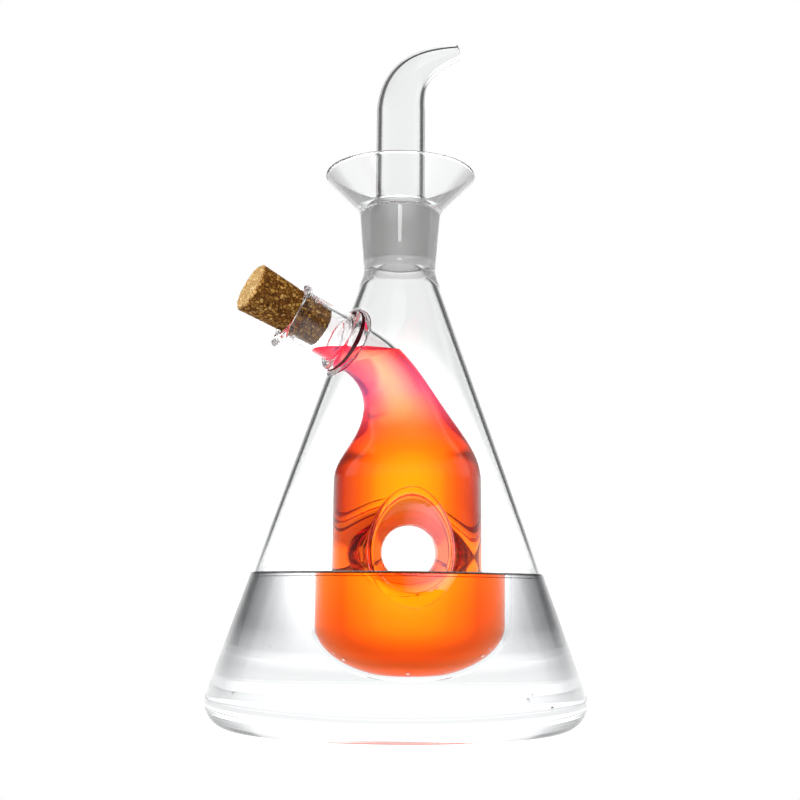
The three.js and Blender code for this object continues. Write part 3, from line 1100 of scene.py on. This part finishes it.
def makeCorkLook():
    material, tree, shader, _ = newMaterial("cork")
    place = addNode(tree, "TexCoord").outputs["Object"]
    cells = {"Vector": place, "Scale": corkLook["granules"]}
    granule = addNode(tree, "TexVoronoi", cells)
    edge = addNode(tree, "TexVoronoi", cells, feature="DISTANCE_TO_EDGE")
    speck = addNode(tree, "TexNoise", {
        "Vector": place, "Scale": corkLook["specks"], "Detail": corkLook["speckDetail"]})
    tone = addNode(tree, "SeparateColor", {"Color": granule.outputs["Color"]}).outputs["Red"]
    specks = maths(tree, "MULTIPLY", speck.outputs["Fac"], corkLook["speckTone"])
    shade = maths(tree, "MULTIPLY_ADD", tone, corkLook["granuleTone"], specks)
    shade = maths(tree, "MULTIPLY", shade, mapRange(tree, edge.outputs["Distance"], 0.0, corkLook["gap"]))
    side = rampOf(tree, shade, corkLook["side"])
    end = rampOf(tree, shade, corkLook["end"])
    bump = addNode(tree, "Bump", {
        "Height": shade, "Strength": corkLook["bumpStrength"], "Distance": corkLook["bumpDepth"] * mm})
    feed(tree, shader, {
        "Base Color": mixColours(tree, markOf(tree, "corkEnd"), side, end),
        "Roughness": corkLook["roughness"],
        "Specular IOR Level": corkLook["shine"],
        "Normal": bump.outputs["Normal"],
    })
    return material


print("stage: materials")
groundGlass = makeGroundGlass()
glassKinds = {                  # finishes of the fused glass, some of them painted shade and one a painted reflection, in the order of its material slots
    "clear": makeGlass("clear_glass", blownGlass["ior"]),
    "ground": groundGlass,
    "oilWet": makeGlass("oil_wet_glass", wetIor),
    "vinegarWet": makeGlass("vinegar_wet_glass", wetIor),
    "standing": makeGlass("standing_glass", 1.0),       # doesn't bend light
    "seam": makeGlass("seam_glass", blownGlass["ior"], blownGlass["seam"]),
    # painted reflection of the vinegar in the base
    "glow": makePaintedReflectionGlass(),
    "wetWallShade": makeShadedWetWall(),
    # painted shade lines at the oil's contact line
    "shore": makeGlass("shore_shade_glass", wetIor, blownGlass["shore"]),
    "funnel": makeThinGlass("funnel_edge_shade_glass", blownGlass["funnelEdges"]),
}
slotOf = {kind: number for number, kind in enumerate(glassKinds)}

# Bottle glass: flask, socket, funnel, ring seal, side neck and vessel, fused as in the flame
cellSize = 0.8
glassZones = {
    "marginSide": 1.7,          # room round the glass in its grid of cells
    "marginFoot": 1.3,
    "marginTop": 2.2,
    "probe": 0.3,               # step off a face to find what it touches
    "groundFoot": 0.5,          # ground part of the socket, above the seam and below the top
    "groundTop": 0.4,
    "funnelFoot": 0.3,          # below the socket's top
    "wallClear": 1.5,           # wet faces this far from the vessel are the flask's wall
    "undersideFacing": -0.95,   # height of the normals under the base, and at most at its corner
    "cornerFacing": 0.1,
    "ridgeReach": 1.2,          # of the vessel's radius
    "ridgeWidth": 3.0,          # of the bead
    "seamReach": 1.4,
    "ridgeMove": 0.3,
}


def ridgePlace(p):
    # distance from the line where the tunnel meets the body, and the side of that line
    u, v, z = sideFrame(p)
    along, up, aside = sideAxis(u, v, z)
    loft = vesselLoft(u, v, z, along, np.hypot(up, aside))
    hole = tunnelSpace(p)
    there = (z < tunnelTop) & (u > vessel["offset"] - glassZones["ridgeReach"] * vessel["radius"])
    return np.where(there, np.hypot(loft, hole), farAway), loft - hole


def onRidge(p):
    return ridgePlace(p)[0] < glassZones["ridgeWidth"] * vessel["mouthBead"]


def refineRidge(mesh):
    # smaller faces where the tunnel's mouths were fused
    bm = bmesh.new()
    bm.from_mesh(mesh)
    for _ in range(2):
        bm.verts.ensure_lookup_table()
        close = onRidge(np.array([v.co for v in bm.verts]) / mm)
        edges = [e for e in bm.edges if close[e.verts[0].index] and close[e.verts[1].index]]
        bmesh.ops.subdivide_edges(bm, edges=edges, cuts=1, use_grid_fill=True)
        bm.verts.index_update()
    points = np.array([v.co for v in bm.verts]) / mm
    close = np.flatnonzero(onRidge(points))
    moved = pullOnto(glassField, points[close], glassZones["ridgeMove"], 3)
    bm.verts.ensure_lookup_table()
    for i, place in zip(close, moved):
        bm.verts[i].co = place * mm
    bm.to_mesh(mesh)
    bm.free()


def slotsOfFaces(centres, normals, oilLine, vinegarLine):
    z = centres[:, 2]
    touched = centres + normals * glassZones["probe"]
    r = np.hypot(touched[:, 0], touched[:, 1])
    out, _, space = innerParts(touched)
    inOil = (flaskInside(r, touched[:, 2]) < 0) & (out > 0) & (z < oilLine)
    inVinegar = (space < 0) & (z < vinegarLine)
    ground = (z > flask["height"] + glassZones["groundFoot"]) & (r < groundRadius(z))
    ground &= z < groundJoint["socketTop"] - glassZones["groundTop"]
    slots = np.full(len(centres), slotOf["clear"], np.int32)
    slots[ground] = slotOf["ground"]
    slots[z > groundJoint["socketTop"] - glassZones["funnelFoot"]] = slotOf["funnel"]
    slots[inOil & ~inVinegar] = slotOf["oilWet"]
    onWall = inOil & (out > glassZones["wallClear"])
    # wet flask wall, with its painted edge shade
    slots[onWall] = slotOf["wetWallShade"]
    # painted shade lines on the wet wall below the contact line
    for start, end in liquids["shoreShadeLines"]:
        slots[onWall & (oilLine - z > start) & (oilLine - z < end)] = slotOf["shore"]
    slots[inVinegar] = slotOf["vinegarWet"]
    underside = (normals[:, 2] < glassZones["undersideFacing"]) & (z < flask["floor"] / 2)
    slots[underside] = slotOf["standing"]
    backCorner = (normals[:, 2] < glassZones["cornerFacing"]) & (z < cornerZ) & (centres[:, 1] > 0)
    slots[backCorner & (slots == slotOf["clear"])] = slotOf["standing"]
    # painted reflection of the vinegar in the base's front corner
    slots[paintedReflectionAt(centres) > paintedBaseReflection["least"]] = slotOf["glow"]
    # painted shade line along the fused ridge
    crest, across = ridgePlace(centres)
    seam = (crest < glassZones["seamReach"] * vessel["mouthBead"]) & (np.abs(across) < vessel["seamWidth"])
    slots[seam & (slots == slotOf["clear"])] = slotOf["seam"]
    return slots


def makeBottleGlass():
    reach = flask["baseRadius"] + glassZones["marginSide"]
    top = groundJoint["socketTop"] + funnel["height"] + glassZones["marginTop"]
    low, high = (-reach, -reach, -glassZones["marginFoot"]), (reach, reach, top)
    mesh = newMesh("bottle_glass", *meshOfField(glassField, low, high, cellSize))
    refineRidge(mesh)
    oilLine, vinegarLine = contactLine(liquids["oilTop"]), contactLine(liquids["vinegarTop"])
    depths = {depth for line in liquids["shoreShadeLines"] for depth in line}
    markLevels(mesh, vinegarLine, *(oilLine - depth for depth in sorted(depths)))
    for material in glassKinds.values():
        mesh.materials.append(material)
    mesh.polygons.foreach_set("material_index", slotsOfFaces(*facesOf(mesh), oilLine, vinegarLine))
    # share of the painted reflection at each point
    markPoints(mesh, "glow", paintedReflectionAt(pointsOf(mesh)))
    smoothByField(mesh, glassField)
    return newPiece("bottle_glass", mesh, "flask", "clear_glass",
                    "flask_body", "neck_socket", "drip_funnel", "ring_seal", "side_neck", "vinegar_vessel")


def smoothLiquid(mesh, field):
    # the wet sides are shaded by the field, the open surface by its own faces
    points = pointsOf(mesh)
    loops, faces = len(mesh.loops), len(mesh.polygons)
    vertexOfLoop = np.empty(loops, np.int32)
    mesh.loops.foreach_get("vertex_index", vertexOfLoop)
    totals = np.empty(faces, np.int32)
    mesh.polygons.foreach_get("loop_total", totals)
    faceOfLoop = np.repeat(np.arange(faces), totals)
    opened = np.empty(faces, np.float32)
    mesh.attributes["openSurface"].data.foreach_get("value", opened)
    areas = np.empty(faces)
    mesh.polygons.foreach_get("area", areas)
    faceNormals = facesOf(mesh)[1]
    onTop = opened[faceOfLoop] > 0.5
    topNormals = np.zeros((len(points), 3))
    np.add.at(topNormals, vertexOfLoop[onTop], (faceNormals * areas[:, None])[faceOfLoop[onTop]])
    sideNormals = slopeOf(field, points, shadeReach)
    loopNormals = np.where(onTop[:, None], topNormals[vertexOfLoop], sideNormals[vertexOfLoop])
    shadeSmooth(mesh)
    mesh.normals_split_custom_set(unitLength(loopNormals))


def makeLiquid(name, field, low, high, level, material, slotName, node):
    mesh = newMesh(name, *meshOfField(field, low, high, cellSize))
    closeSurface(mesh, field, level)
    mesh.materials.append(material)
    smoothLiquid(mesh, field)
    return newPiece(name, mesh, "flask", slotName, node)


print("stage: bottle glass")
bottleGlass = makeBottleGlass()
print("  faces", len(bottleGlass.data.polygons))

print("stage: liquids")
surfaceRoom = 4.0               # of the cells, above a liquid's level
oilReach = flask["baseRadius"]
oilLow = (-oilReach, -oilReach, flask["floor"] / 2)
oilHigh = (oilReach, oilReach, liquids["oilTop"] + surfaceRoom)
oilLiquid = makeLiquid(
    "oil_liquid", oilField, oilLow, oilHigh,
    liquids["oilTop"], makeOilLiquid(), "clear_liquid", "oil_fill")
vinegarLow = (-36.0, -28.0, vessel["bottom"])
vinegarHigh = (30.0, 30.0, liquids["vinegarTop"] + surfaceRoom)
vinegarLiquid = makeLiquid(
    "vinegar_liquid", vinegarField, vinegarLow, vinegarHigh,
    liquids["vinegarTop"], makeVinegarLiquid(), "orange_liquid", "vinegar_fill")
markTunnelReflection(vinegarLiquid.data)

# Bubbles of air on the vessel (x, z, radius) and on the flask's wall (side, z, radius)
bubbles = {
    "vessel": (
        (-20.2, 25.6, 0.28), (-13.0, 18.2, 0.42), (-15.5, 20.0, 0.25),
        (3.0, 14.5, 0.4), (21.5, 19.5, 0.4), (23.4, 21.6, 0.26),
    ),
    "vesselSink": 0.9,          # of the radius, from the glass to the middle
    "wall": (
        (-1, 27.6, 0.45), (-1, 24.0, 0.5), (-1, 25.6, 0.3),
        (-1, 12.0, 0.45), (-1, 9.6, 0.3), (-1, 29.5, 0.25),
        (1, 11.5, 0.55), (1, 9.0, 0.6), (1, 13.0, 0.35), (1, 26.0, 0.3), (1, 30.0, 0.25),
    ),
    "wallSink": 0.95,
    "wallTurn": 12.0,           # least turn from the side towards the viewer
    "wallSpread": 40.0,
    "wallScatter": 7.3,
    "front": -58.0,             # the way to the glass is searched from here
    "wallRange": (30.0, 60.0),
    "searchStep": 0.05,
    "segments": 16,
    "rings": 10,
}


def vesselBubble(x, z, radius):
    # first place on the way back from the viewer that is close enough to the vessel
    ys = np.arange(bubbles["front"], 0.0, bubbles["searchStep"])
    gaps = innerParts(np.column_stack((np.full(len(ys), x), ys, np.full(len(ys), z))))[0]
    return Vector((x, ys[np.flatnonzero(gaps < radius * bubbles["vesselSink"])[0]], z))


def wallBubble(side, z, radius):
    rs = np.arange(*bubbles["wallRange"], bubbles["searchStep"])
    inside = flaskInside(rs, np.full(len(rs), z))
    r = rs[np.flatnonzero(inside < -radius * bubbles["wallSink"])[-1]]
    turn = math.radians(bubbles["wallTurn"] + bubbles["wallSpread"] * ((z * bubbles["wallScatter"]) % 1))
    return Vector((side * r * math.cos(turn), -r * math.sin(turn), z))


def makeBubbles():
    places = [(vesselBubble(*row), row[2]) for row in bubbles["vessel"]]
    places += [(wallBubble(*row), row[2]) for row in bubbles["wall"]]
    bm = bmesh.new()
    for place, radius in places:
        bmesh.ops.create_uvsphere(
            bm, u_segments=bubbles["segments"], v_segments=bubbles["rings"], radius=radius * mm,
            matrix=Matrix.Translation(place * mm))
    mesh = bpy.data.meshes.new("oil_bubbles")
    bm.to_mesh(mesh)
    bm.free()
    shadeSmooth(mesh)
    mesh.materials.append(makeGlass("bubble_air", 1 / blownGlass["waterIor"]))
    return newPiece("oil_bubbles", mesh, "flask", "clear_liquid")


# Tubes made ring by ring


def tubeFaces(rings, around, closed=False):
    # quads from ring to ring, and from the last to the first where the tube is closed
    faces = []
    for k in range(rings if closed else rings - 1):
        here = k * around + np.arange(around)
        there = (k + 1) % rings * around + np.arange(around)
        faces.append(np.stack((here, np.roll(here, -1), np.roll(there, -1), there), 1))
    return np.concatenate(faces)


def capEnds(mesh):
    bm = bmesh.new()
    bm.from_mesh(mesh)
    bmesh.ops.holes_fill(bm, edges=[e for e in bm.edges if e.is_boundary])
    bmesh.ops.recalc_face_normals(bm, faces=bm.faces[:])
    bm.to_mesh(mesh)
    bm.free()


def anglesRound(count):
    return np.linspace(0, 2 * math.pi, count, endpoint=False)


def fromSide(along, up, aside):
    # along, above and beside the side neck's axis, turned into the bottle's frame
    u = sealU + along * aheadU + up * aheadZ
    z = sealZ + along * aheadZ - up * aheadU
    return np.stack((u * sideCos - aside * sideSin, u * sideSin + aside * sideCos, z), 1)


sealBand = {
    "radius": 0.72,
    "along": -1.1,
    "halfTurn": 118.0,
    "leastTaper": 0.02,
    # painted shade: opaque, very dark wine red
    "colour": (0.2, 0.008, 0.02, 1),
    "roughness": 0.3,
    "steps": 64,
    "around": 14,
}


def makeSealBand():
    # vinegar's wine red held in the fold of the ring seal, on the viewer's side, made opaque and dark as
    # painted shade
    halfTurn = math.radians(sealBand["halfTurn"])
    angles = anglesRound(sealBand["around"])
    rings = []
    for turn in np.linspace(-halfTurn, halfTurn, sealBand["steps"]):
        radius = sealBand["radius"] * math.sqrt(max(sealBand["leastTaper"], 1 - (turn / halfTurn) ** 2))
        out = sideNeck["sealMiddle"] + radius * np.cos(angles)
        along = sealBand["along"] + radius * np.sin(angles)
        rings.append(fromSide(along, out * math.sin(turn), -out * math.cos(turn)))
    mesh = newMesh("seal_shade_band", np.concatenate(rings), tubeFaces(sealBand["steps"], sealBand["around"]))
    capEnds(mesh)
    shadeSmooth(mesh)
    material, tree, shader, _ = newMaterial("seal_shade_band")
    feed(tree, shader, {
        "Base Color": sealBand["colour"],
        "Roughness": sealBand["roughness"],
        "Specular IOR Level": 0.0,
    })
    mesh.materials.append(material)
    return newPiece("seal_shade_band", mesh, "flask", "orange_liquid")


print("stage: bubbles and seal")
makeBubbles()
makeSealBand()

# Spout: ground cone, shoulder, upright tube and drawn tip, one run of glass
spout = {
    "radius": 8.3,
    "wall": 1.4,
    "straight": 31.5,
    "reach": 19.6,
    "rise": 22.0,
    "tipAngle": 16.0,
    "leadIn": 13.6,
    "leadOut": 12.9,
    "tipRadius": 2.6,
    "tipWall": 0.9,
    "taperPower": 1.3,
    "boreBlend": 4.0,           # the cone's bore opens out from here below the shoulder
    "footRound": 0.4,
    "shoulderGap": 0.2,         # rows left out where the cone, the shoulder and the tube meet
    "shoulderStart": 8.0,
    "tubeGap": 1.0,
    "endRound": 0.6,            # depth of the rounded ends, of half the wall
    "around": 72,
    "coneSteps": 24,
    "shoulderSteps": 9,
    "tubeSteps": 22,
    "bendSteps": 60,
    "endSteps": 5,
}


def spoutBore(z):
    cone = groundRadius(groundJoint["coneFoot"]) - groundJoint["coneWall"]
    share = np.clip((z - coneTop + spout["boreBlend"]) / (groundJoint["shoulder"] + spout["boreBlend"]), 0, 1)
    return cone + (spout["radius"] - spout["wall"] - cone) * share * share * (3 - 2 * share)


def spoutStations():
    # centre (x, z), direction (x, z), outer radius, inner radius, ground or clear
    rows = []
    upright = (0, 1)
    tubeFoot = groundJoint["tubeFoot"]
    coneFirst, coneLast = groundJoint["coneFoot"] + spout["footRound"], coneTop - spout["shoulderGap"]
    for z in np.linspace(coneFirst, coneLast, spout["coneSteps"]):
        rows.append(((0, z), upright, groundRadius(z), spoutBore(z), True))
    drop = groundJoint["coneTopRadius"] - spout["radius"]
    for angle in np.radians(np.linspace(spout["shoulderStart"], 90, spout["shoulderSteps"])):
        z = tubeFoot - groundJoint["shoulder"] * math.cos(angle)
        outer = groundJoint["coneTopRadius"] - drop * math.sin(angle)
        rows.append(((0, z), upright, outer, spoutBore(z), False))
    bendFoot = tubeFoot + spout["straight"]
    for z in np.linspace(tubeFoot + spout["tubeGap"], bendFoot, spout["tubeSteps"], endpoint=False):
        rows.append(((0, z), upright, spout["radius"], spout["radius"] - spout["wall"], False))
    tipX, tipZ = spout["reach"], bendFoot + spout["rise"]
    tipU = math.cos(math.radians(spout["tipAngle"]))
    tipW = math.sin(math.radians(spout["tipAngle"]))
    path = np.array((
        (0, bendFoot),
        (0, bendFoot + spout["leadIn"]),
        (tipX - spout["leadOut"] * tipU, tipZ - spout["leadOut"] * tipW),
        (tipX, tipZ),
    ))
    shares = np.linspace(0, 1, spout["bendSteps"])
    places, aheads, _ = bezier(path, shares)
    for share, place, ahead in zip(shares, places, unitLength(aheads)):
        fall = share ** spout["taperPower"]
        outer = spout["radius"] + (spout["tipRadius"] - spout["radius"]) * fall
        wall = spout["wall"] + (spout["tipWall"] - spout["wall"]) * fall
        rows.append((tuple(place), tuple(ahead), outer, outer - wall, False))
    return rows


def ringPoints(centre, ahead, radius):
    angles = anglesRound(spout["around"])
    sideX, sideZ = ahead[1], -ahead[0]
    return np.stack((
        centre[0] + sideX * radius * np.cos(angles),
        radius * np.sin(angles),
        centre[1] + sideZ * radius * np.cos(angles),
    ), 1)


def roundEnd(row, outward):
    # half-round edge between the outer and inner surfaces at one end
    centre, ahead, outer, inner, _ = row
    middle, half = (outer + inner) / 2, (outer - inner) / 2
    rings = []
    for angle in np.linspace(0, math.pi, spout["endSteps"] + 2)[1:-1]:
        shift = outward * half * spout["endRound"] * math.sin(angle)
        place = (centre[0] + ahead[0] * shift, centre[1] + ahead[1] * shift)
        rings.append((place, ahead, middle + half * math.cos(angle), False))
    return rings


def makePourSpout():
    rows = spoutStations()
    rings = [(c, a, outer, ground) for c, a, outer, _, ground in rows]
    rings += roundEnd(rows[-1], 1)
    rings += [(c, a, inner, False) for c, a, _, inner, _ in reversed(rows)]
    rings += reversed(roundEnd(rows[0], -1))
    points = np.concatenate([ringPoints(c, a, radius) for c, a, radius, _ in rings])
    mesh = newMesh("pour_spout", points, tubeFaces(len(rings), spout["around"], closed=True))
    mesh.materials.append(makeThinGlass("spout_edge_shade_glass", blownGlass["spoutEdgeShade"]))
    mesh.materials.append(groundGlass)
    slots = np.repeat([int(ground) for _, _, _, ground in rings], spout["around"])
    mesh.polygons.foreach_set("material_index", slots.astype(np.int32))
    shadeSmooth(mesh)
    return newPiece("pour_spout", mesh, "spout", "clear_glass", "stopper_cone", "pour_tube")


print("stage: spout")
pourSpout = makePourSpout()
for piece in (bottleGlass, oilLiquid, vinegarLiquid, pourSpout):
    piece.visible_shadow = False        # light reaches the cork through the glass

# Cork
corkGrain = {
    "seed": 7,
    "granules": 2600,
    "relief": 0.22,
    "seam": 0.35,
    "searchHeight": 3.0,        # granules farther above or below aren't neighbours
    "around": 150,
    "along": 130,
    "endRings": 34,
    "middleHole": 0.15,         # closed by a cap
    "endDepth": 0.6,            # coloured as an end
}


def granuleRelief(points):
    # depth of the seams between pressed granules
    draw = np.random.default_rng(corkGrain["seed"])
    low, high = points.min(0) - 1, points.max(0) + 1
    seeds = draw.uniform(low, high, (corkGrain["granules"], 3))
    depth = np.empty(len(points))
    chunk = corkGrain["around"] * 4
    for start in range(0, len(points), chunk):
        part = points[start:start + chunk]
        close = np.abs(seeds[:, 2] - part[:, 2].mean()) < corkGrain["searchHeight"]
        gaps = np.sqrt(((part[:, None, :] - seeds[close][None]) ** 2).sum(2))
        nearest = np.partition(gaps, 1, axis=1)[:, :2]
        depth[start:start + chunk] = nearest[:, 1] - nearest[:, 0]
    return np.clip(1 - depth / corkGrain["seam"], 0, 1)


def makeCork():
    footRadius = sideBore - corkStopper["clearance"]
    headRadius = footRadius + corkStopper["length"] * corkStopper["taper"]
    chamfer = corkStopper["chamfer"]
    head = corkFoot + corkStopper["length"]
    hole, endRings = corkGrain["middleHole"], corkGrain["endRings"]
    profile = [(r, corkFoot) for r in np.linspace(hole, footRadius - chamfer, endRings)]
    for z in np.linspace(corkFoot + chamfer, head - chamfer, corkGrain["along"]):
        profile.append((footRadius + (z - corkFoot) * corkStopper["taper"], z))
    profile += [(r, head) for r in np.linspace(headRadius - chamfer, hole, endRings)]
    angles = anglesRound(corkGrain["around"])
    local = np.array([(r * math.cos(a), r * math.sin(a), z) for r, z in profile for a in angles])
    inward = unitLength(np.array((0, 0, corkFoot + corkStopper["length"] / 2)) - local)
    local = local + inward * (granuleRelief(local) * corkGrain["relief"])[:, None]
    points = fromSide(local[:, 2], local[:, 0], local[:, 1])
    mesh = newMesh("neck_cork", points, tubeFaces(len(profile), corkGrain["around"]))
    capEnds(mesh)
    mesh.materials.append(makeCorkLook())
    along = sideAxis(*sideFrame(pointsOf(mesh)))[0]
    ends = (along > head - corkGrain["endDepth"]) | (along < corkFoot + corkGrain["endDepth"])
    markPoints(mesh, "corkEnd", ends)
    shadeSmooth(mesh)
    return newPiece("neck_cork", mesh, "cork", "cork", "cork")


print("stage: cork")
neckCork = makeCork()

# Studio: brightly lit white paper behind, a dimmer room in front and above, and a grey flag on each side
# behind the bottle, just out of the picture, which draws the dark edges of the glass
studio = {
    "glare": 2.6,               # the brightest shade, of the paper low down behind the vessel
    "low": (                    # cosine of the turn from straight in front (-1) to behind (1), brightness
        (-1.0, 0.06),
        (-0.75, 0.06),
        (-0.25, 0.15),
        (0.1, 0.3),
        (0.4, 0.2),
        (0.62, 0.4),
        (0.75, 0.8),
        (0.88, 1.1),
        (0.94, 1.3),
        (0.965, 1.7),
        (0.99, 2.4),
        (1.0, 2.6),
    ),
    "high": (
        (-1.0, 0.2),
        (-0.25, 0.35),
        (0.1, 0.9),
        (0.3, 0.9),
        (0.42, 0.12),
        (0.85, 0.1),
        (0.895, 0.2),
        (0.93, 0.97),
        (0.94, 1.0),
    ),
    "highRises": (0.12, 0.23),  # sines of the heights between which one shade gives way to the next
    "ceilingRises": (0.48, 0.62),
    "ceilingFront": (0.3, 0.0),  # the ceiling ends towards the back
    "topRises": (0.74, 0.9),
    "groundRises": (-0.12, -0.02),
    "ceiling": 0.03,
    "below": 1.0,
}


def shadeAround(tree, place, stops):
    flat = addNode(tree, "VectorMath", {0: place, 1: (1, 1, 0)}, operation="MULTIPLY").outputs[0]
    ahead = addNode(tree, "VectorMath", {0: flat}, operation="NORMALIZE").outputs[0]
    share = mapRange(tree, addNode(tree, "SeparateXYZ", {0: ahead}).outputs["Y"], -1.0, 1.0)
    greys = [((turn + 1) / 2, grey(value / studio["glare"])) for turn, value in stops]
    return rampOf(tree, share, greys, "EASE")


def makeWorld():
    world = bpy.data.worlds.new("studio")
    world.use_nodes = True
    tree = world.node_tree
    tree.nodes.clear()
    place, split = placeOf(tree, "Generated")
    low = shadeAround(tree, place, studio["low"])
    high = shadeAround(tree, place, studio["high"])
    behind = mixShades(tree, mapRange(tree, split["Z"], *studio["highRises"], smooth=True), low, high)
    ceiling = mapRange(tree, split["Z"], *studio["ceilingRises"], smooth=True)
    forward = mapRange(tree, split["Y"], *studio["ceilingFront"], smooth=True)
    zenith = mapRange(tree, split["Z"], *studio["topRises"], smooth=True)
    dim = maths(tree, "MAXIMUM", maths(tree, "MULTIPLY", ceiling, forward), zenith)
    overhead = mixShades(tree, dim, behind, studio["ceiling"] / studio["glare"])
    ground = mapRange(tree, split["Z"], *studio["groundRises"])
    shade = mixShades(tree, ground, studio["below"] / studio["glare"], overhead)
    background = addNode(tree, "Background", {"Color": shade, "Strength": studio["glare"]})
    addNode(tree, "OutputWorld", {"Surface": background.outputs[0]})
    bpy.context.scene.world = world


# Floor: a lit lane of paper under and behind the bottle, darker beside it
floorPaper = {
    "radius": 4000.0,
    "drop": 0.2,
    "edges": 96,
    "lane": (100.0, 180.0),     # from the middle to where it starts to darken, and to where it is dark
    "laneNear": 1.0,
    "laneFar": 2.4,             # its brightness from the second of the next distances on
    "laneRises": (80.0, 220.0),
    "dark": 0.35,
    "merges": (350.0, 700.0),   # here the floor takes on the shades of the paper
}


def makeFloorPaper():
    material = bpy.data.materials.new("floor_paper")
    material.use_nodes = True
    tree = material.node_tree
    tree.nodes.clear()
    glare = studio["glare"]
    lane, laneRises, merges = [np.array(floorPaper[key]) * mm for key in ("lane", "laneRises", "merges")]
    place, split = placeOf(tree)
    beside = mapRange(tree, maths(tree, "ABSOLUTE", split["X"]), *lane, smooth=True)
    laneNear, laneFar = floorPaper["laneNear"] / glare, floorPaper["laneFar"] / glare
    lit = mapRange(tree, split["Y"], *laneRises, laneNear, laneFar, smooth=True)
    near = mixShades(tree, beside, lit, floorPaper["dark"] / glare)
    reach = addNode(tree, "VectorMath", {0: place}, operation="LENGTH").outputs["Value"]
    merge = mapRange(tree, reach, *merges, smooth=True)
    shade = mixShades(tree, merge, near, shadeAround(tree, place, studio["low"]))
    glow = addNode(tree, "Emission", {"Color": shade, "Strength": glare})
    addNode(tree, "OutputMaterial", {"Surface": glow.outputs[0]})
    return material


def makeFloor():
    mesh = bpy.data.meshes.new("floor")
    bm = bmesh.new()
    bmesh.ops.create_circle(bm, cap_ends=True, segments=floorPaper["edges"], radius=floorPaper["radius"] * mm)
    bm.to_mesh(mesh)
    bm.free()
    floor = bpy.data.objects.new("floor", mesh)
    bpy.context.scene.collection.objects.link(floor)
    floor.location.z = -floorPaper["drop"] * mm
    mesh.materials.append(makeFloorPaper())
    floor.visible_camera = False
    return floor


# Lamps: one lights the cork and isn't mirrored, the other is mirrored in the glass only
corkLight = {
    "place": (-320.0, -340.0, 500.0),
    "target": (-40.0, -20.0, 130.0),
    "size": (300.0, 300.0),
    "power": 5.0,
}
stripLight = {
    "place": (-6.0, -510.0, 237.0),
    "target": (0.0, 0.0, 162.0),
    "size": (98.0, 40.0),
    "power": 0.1,
}


def makeLamp(name, light, *pieces):
    # an area lamp that lights only these pieces
    data = bpy.data.lights.new(name, "AREA")
    data.shape = "RECTANGLE"
    data.size, data.size_y = light["size"][0] * mm, light["size"][1] * mm
    data.energy = light["power"]
    lamp = bpy.data.objects.new(name, data)
    place, target = Vector(light["place"]) * mm, Vector(light["target"]) * mm
    lamp.location = place
    lamp.rotation_euler = (target - place).to_track_quat("-Z", "Y").to_euler()
    bpy.context.scene.collection.objects.link(lamp)
    lamp.visible_camera = False
    lamp.visible_transmission = False
    lit = bpy.data.collections.new(name + "_lit")
    for piece in pieces:
        lit.objects.link(piece)
    lamp.light_linking.receiver_collection = lit
    return lamp


camera = {
    "focalPixels": 1275.0,
    "imagePixels": 800.0,
    "sensor": 36.0,
    "pitch": 9.36,
    "roll": 0.5,
    "back": 415.15,
    "height": 36.77,
    "aside": 0.5,
    "clipStart": 10.0,
}


def makeCamera():
    data = bpy.data.cameras.new("camera")
    data.sensor_width = camera["sensor"]
    data.lens = camera["focalPixels"] / camera["imagePixels"] * camera["sensor"]
    data.clip_start = camera["clipStart"] * mm
    eye = bpy.data.objects.new("camera", data)
    eye.location = (camera["aside"] * mm, -camera["back"] * mm, camera["height"] * mm)
    tilt = Matrix.Rotation(math.radians(90 + camera["pitch"]), 3, "X")
    roll = Matrix.Rotation(math.radians(camera["roll"]), 3, "Z")
    eye.rotation_euler = (tilt @ roll).to_euler()
    bpy.context.scene.collection.objects.link(eye)
    bpy.context.scene.camera = eye


print("stage: studio")
makeWorld()
makeFloor()
makeLamp("cork_lamp", corkLight, neckCork).visible_glossy = False
makeLamp("strip_lamp", stripLight, bottleGlass, pourSpout)
makeCamera()

scene = bpy.context.scene
scene.view_settings.view_transform = "Standard"
scene.cycles.max_bounces = 96
scene.cycles.transmission_bounces = 96
scene.cycles.glossy_bounces = 64
scene.cycles.transparent_max_bounces = 32
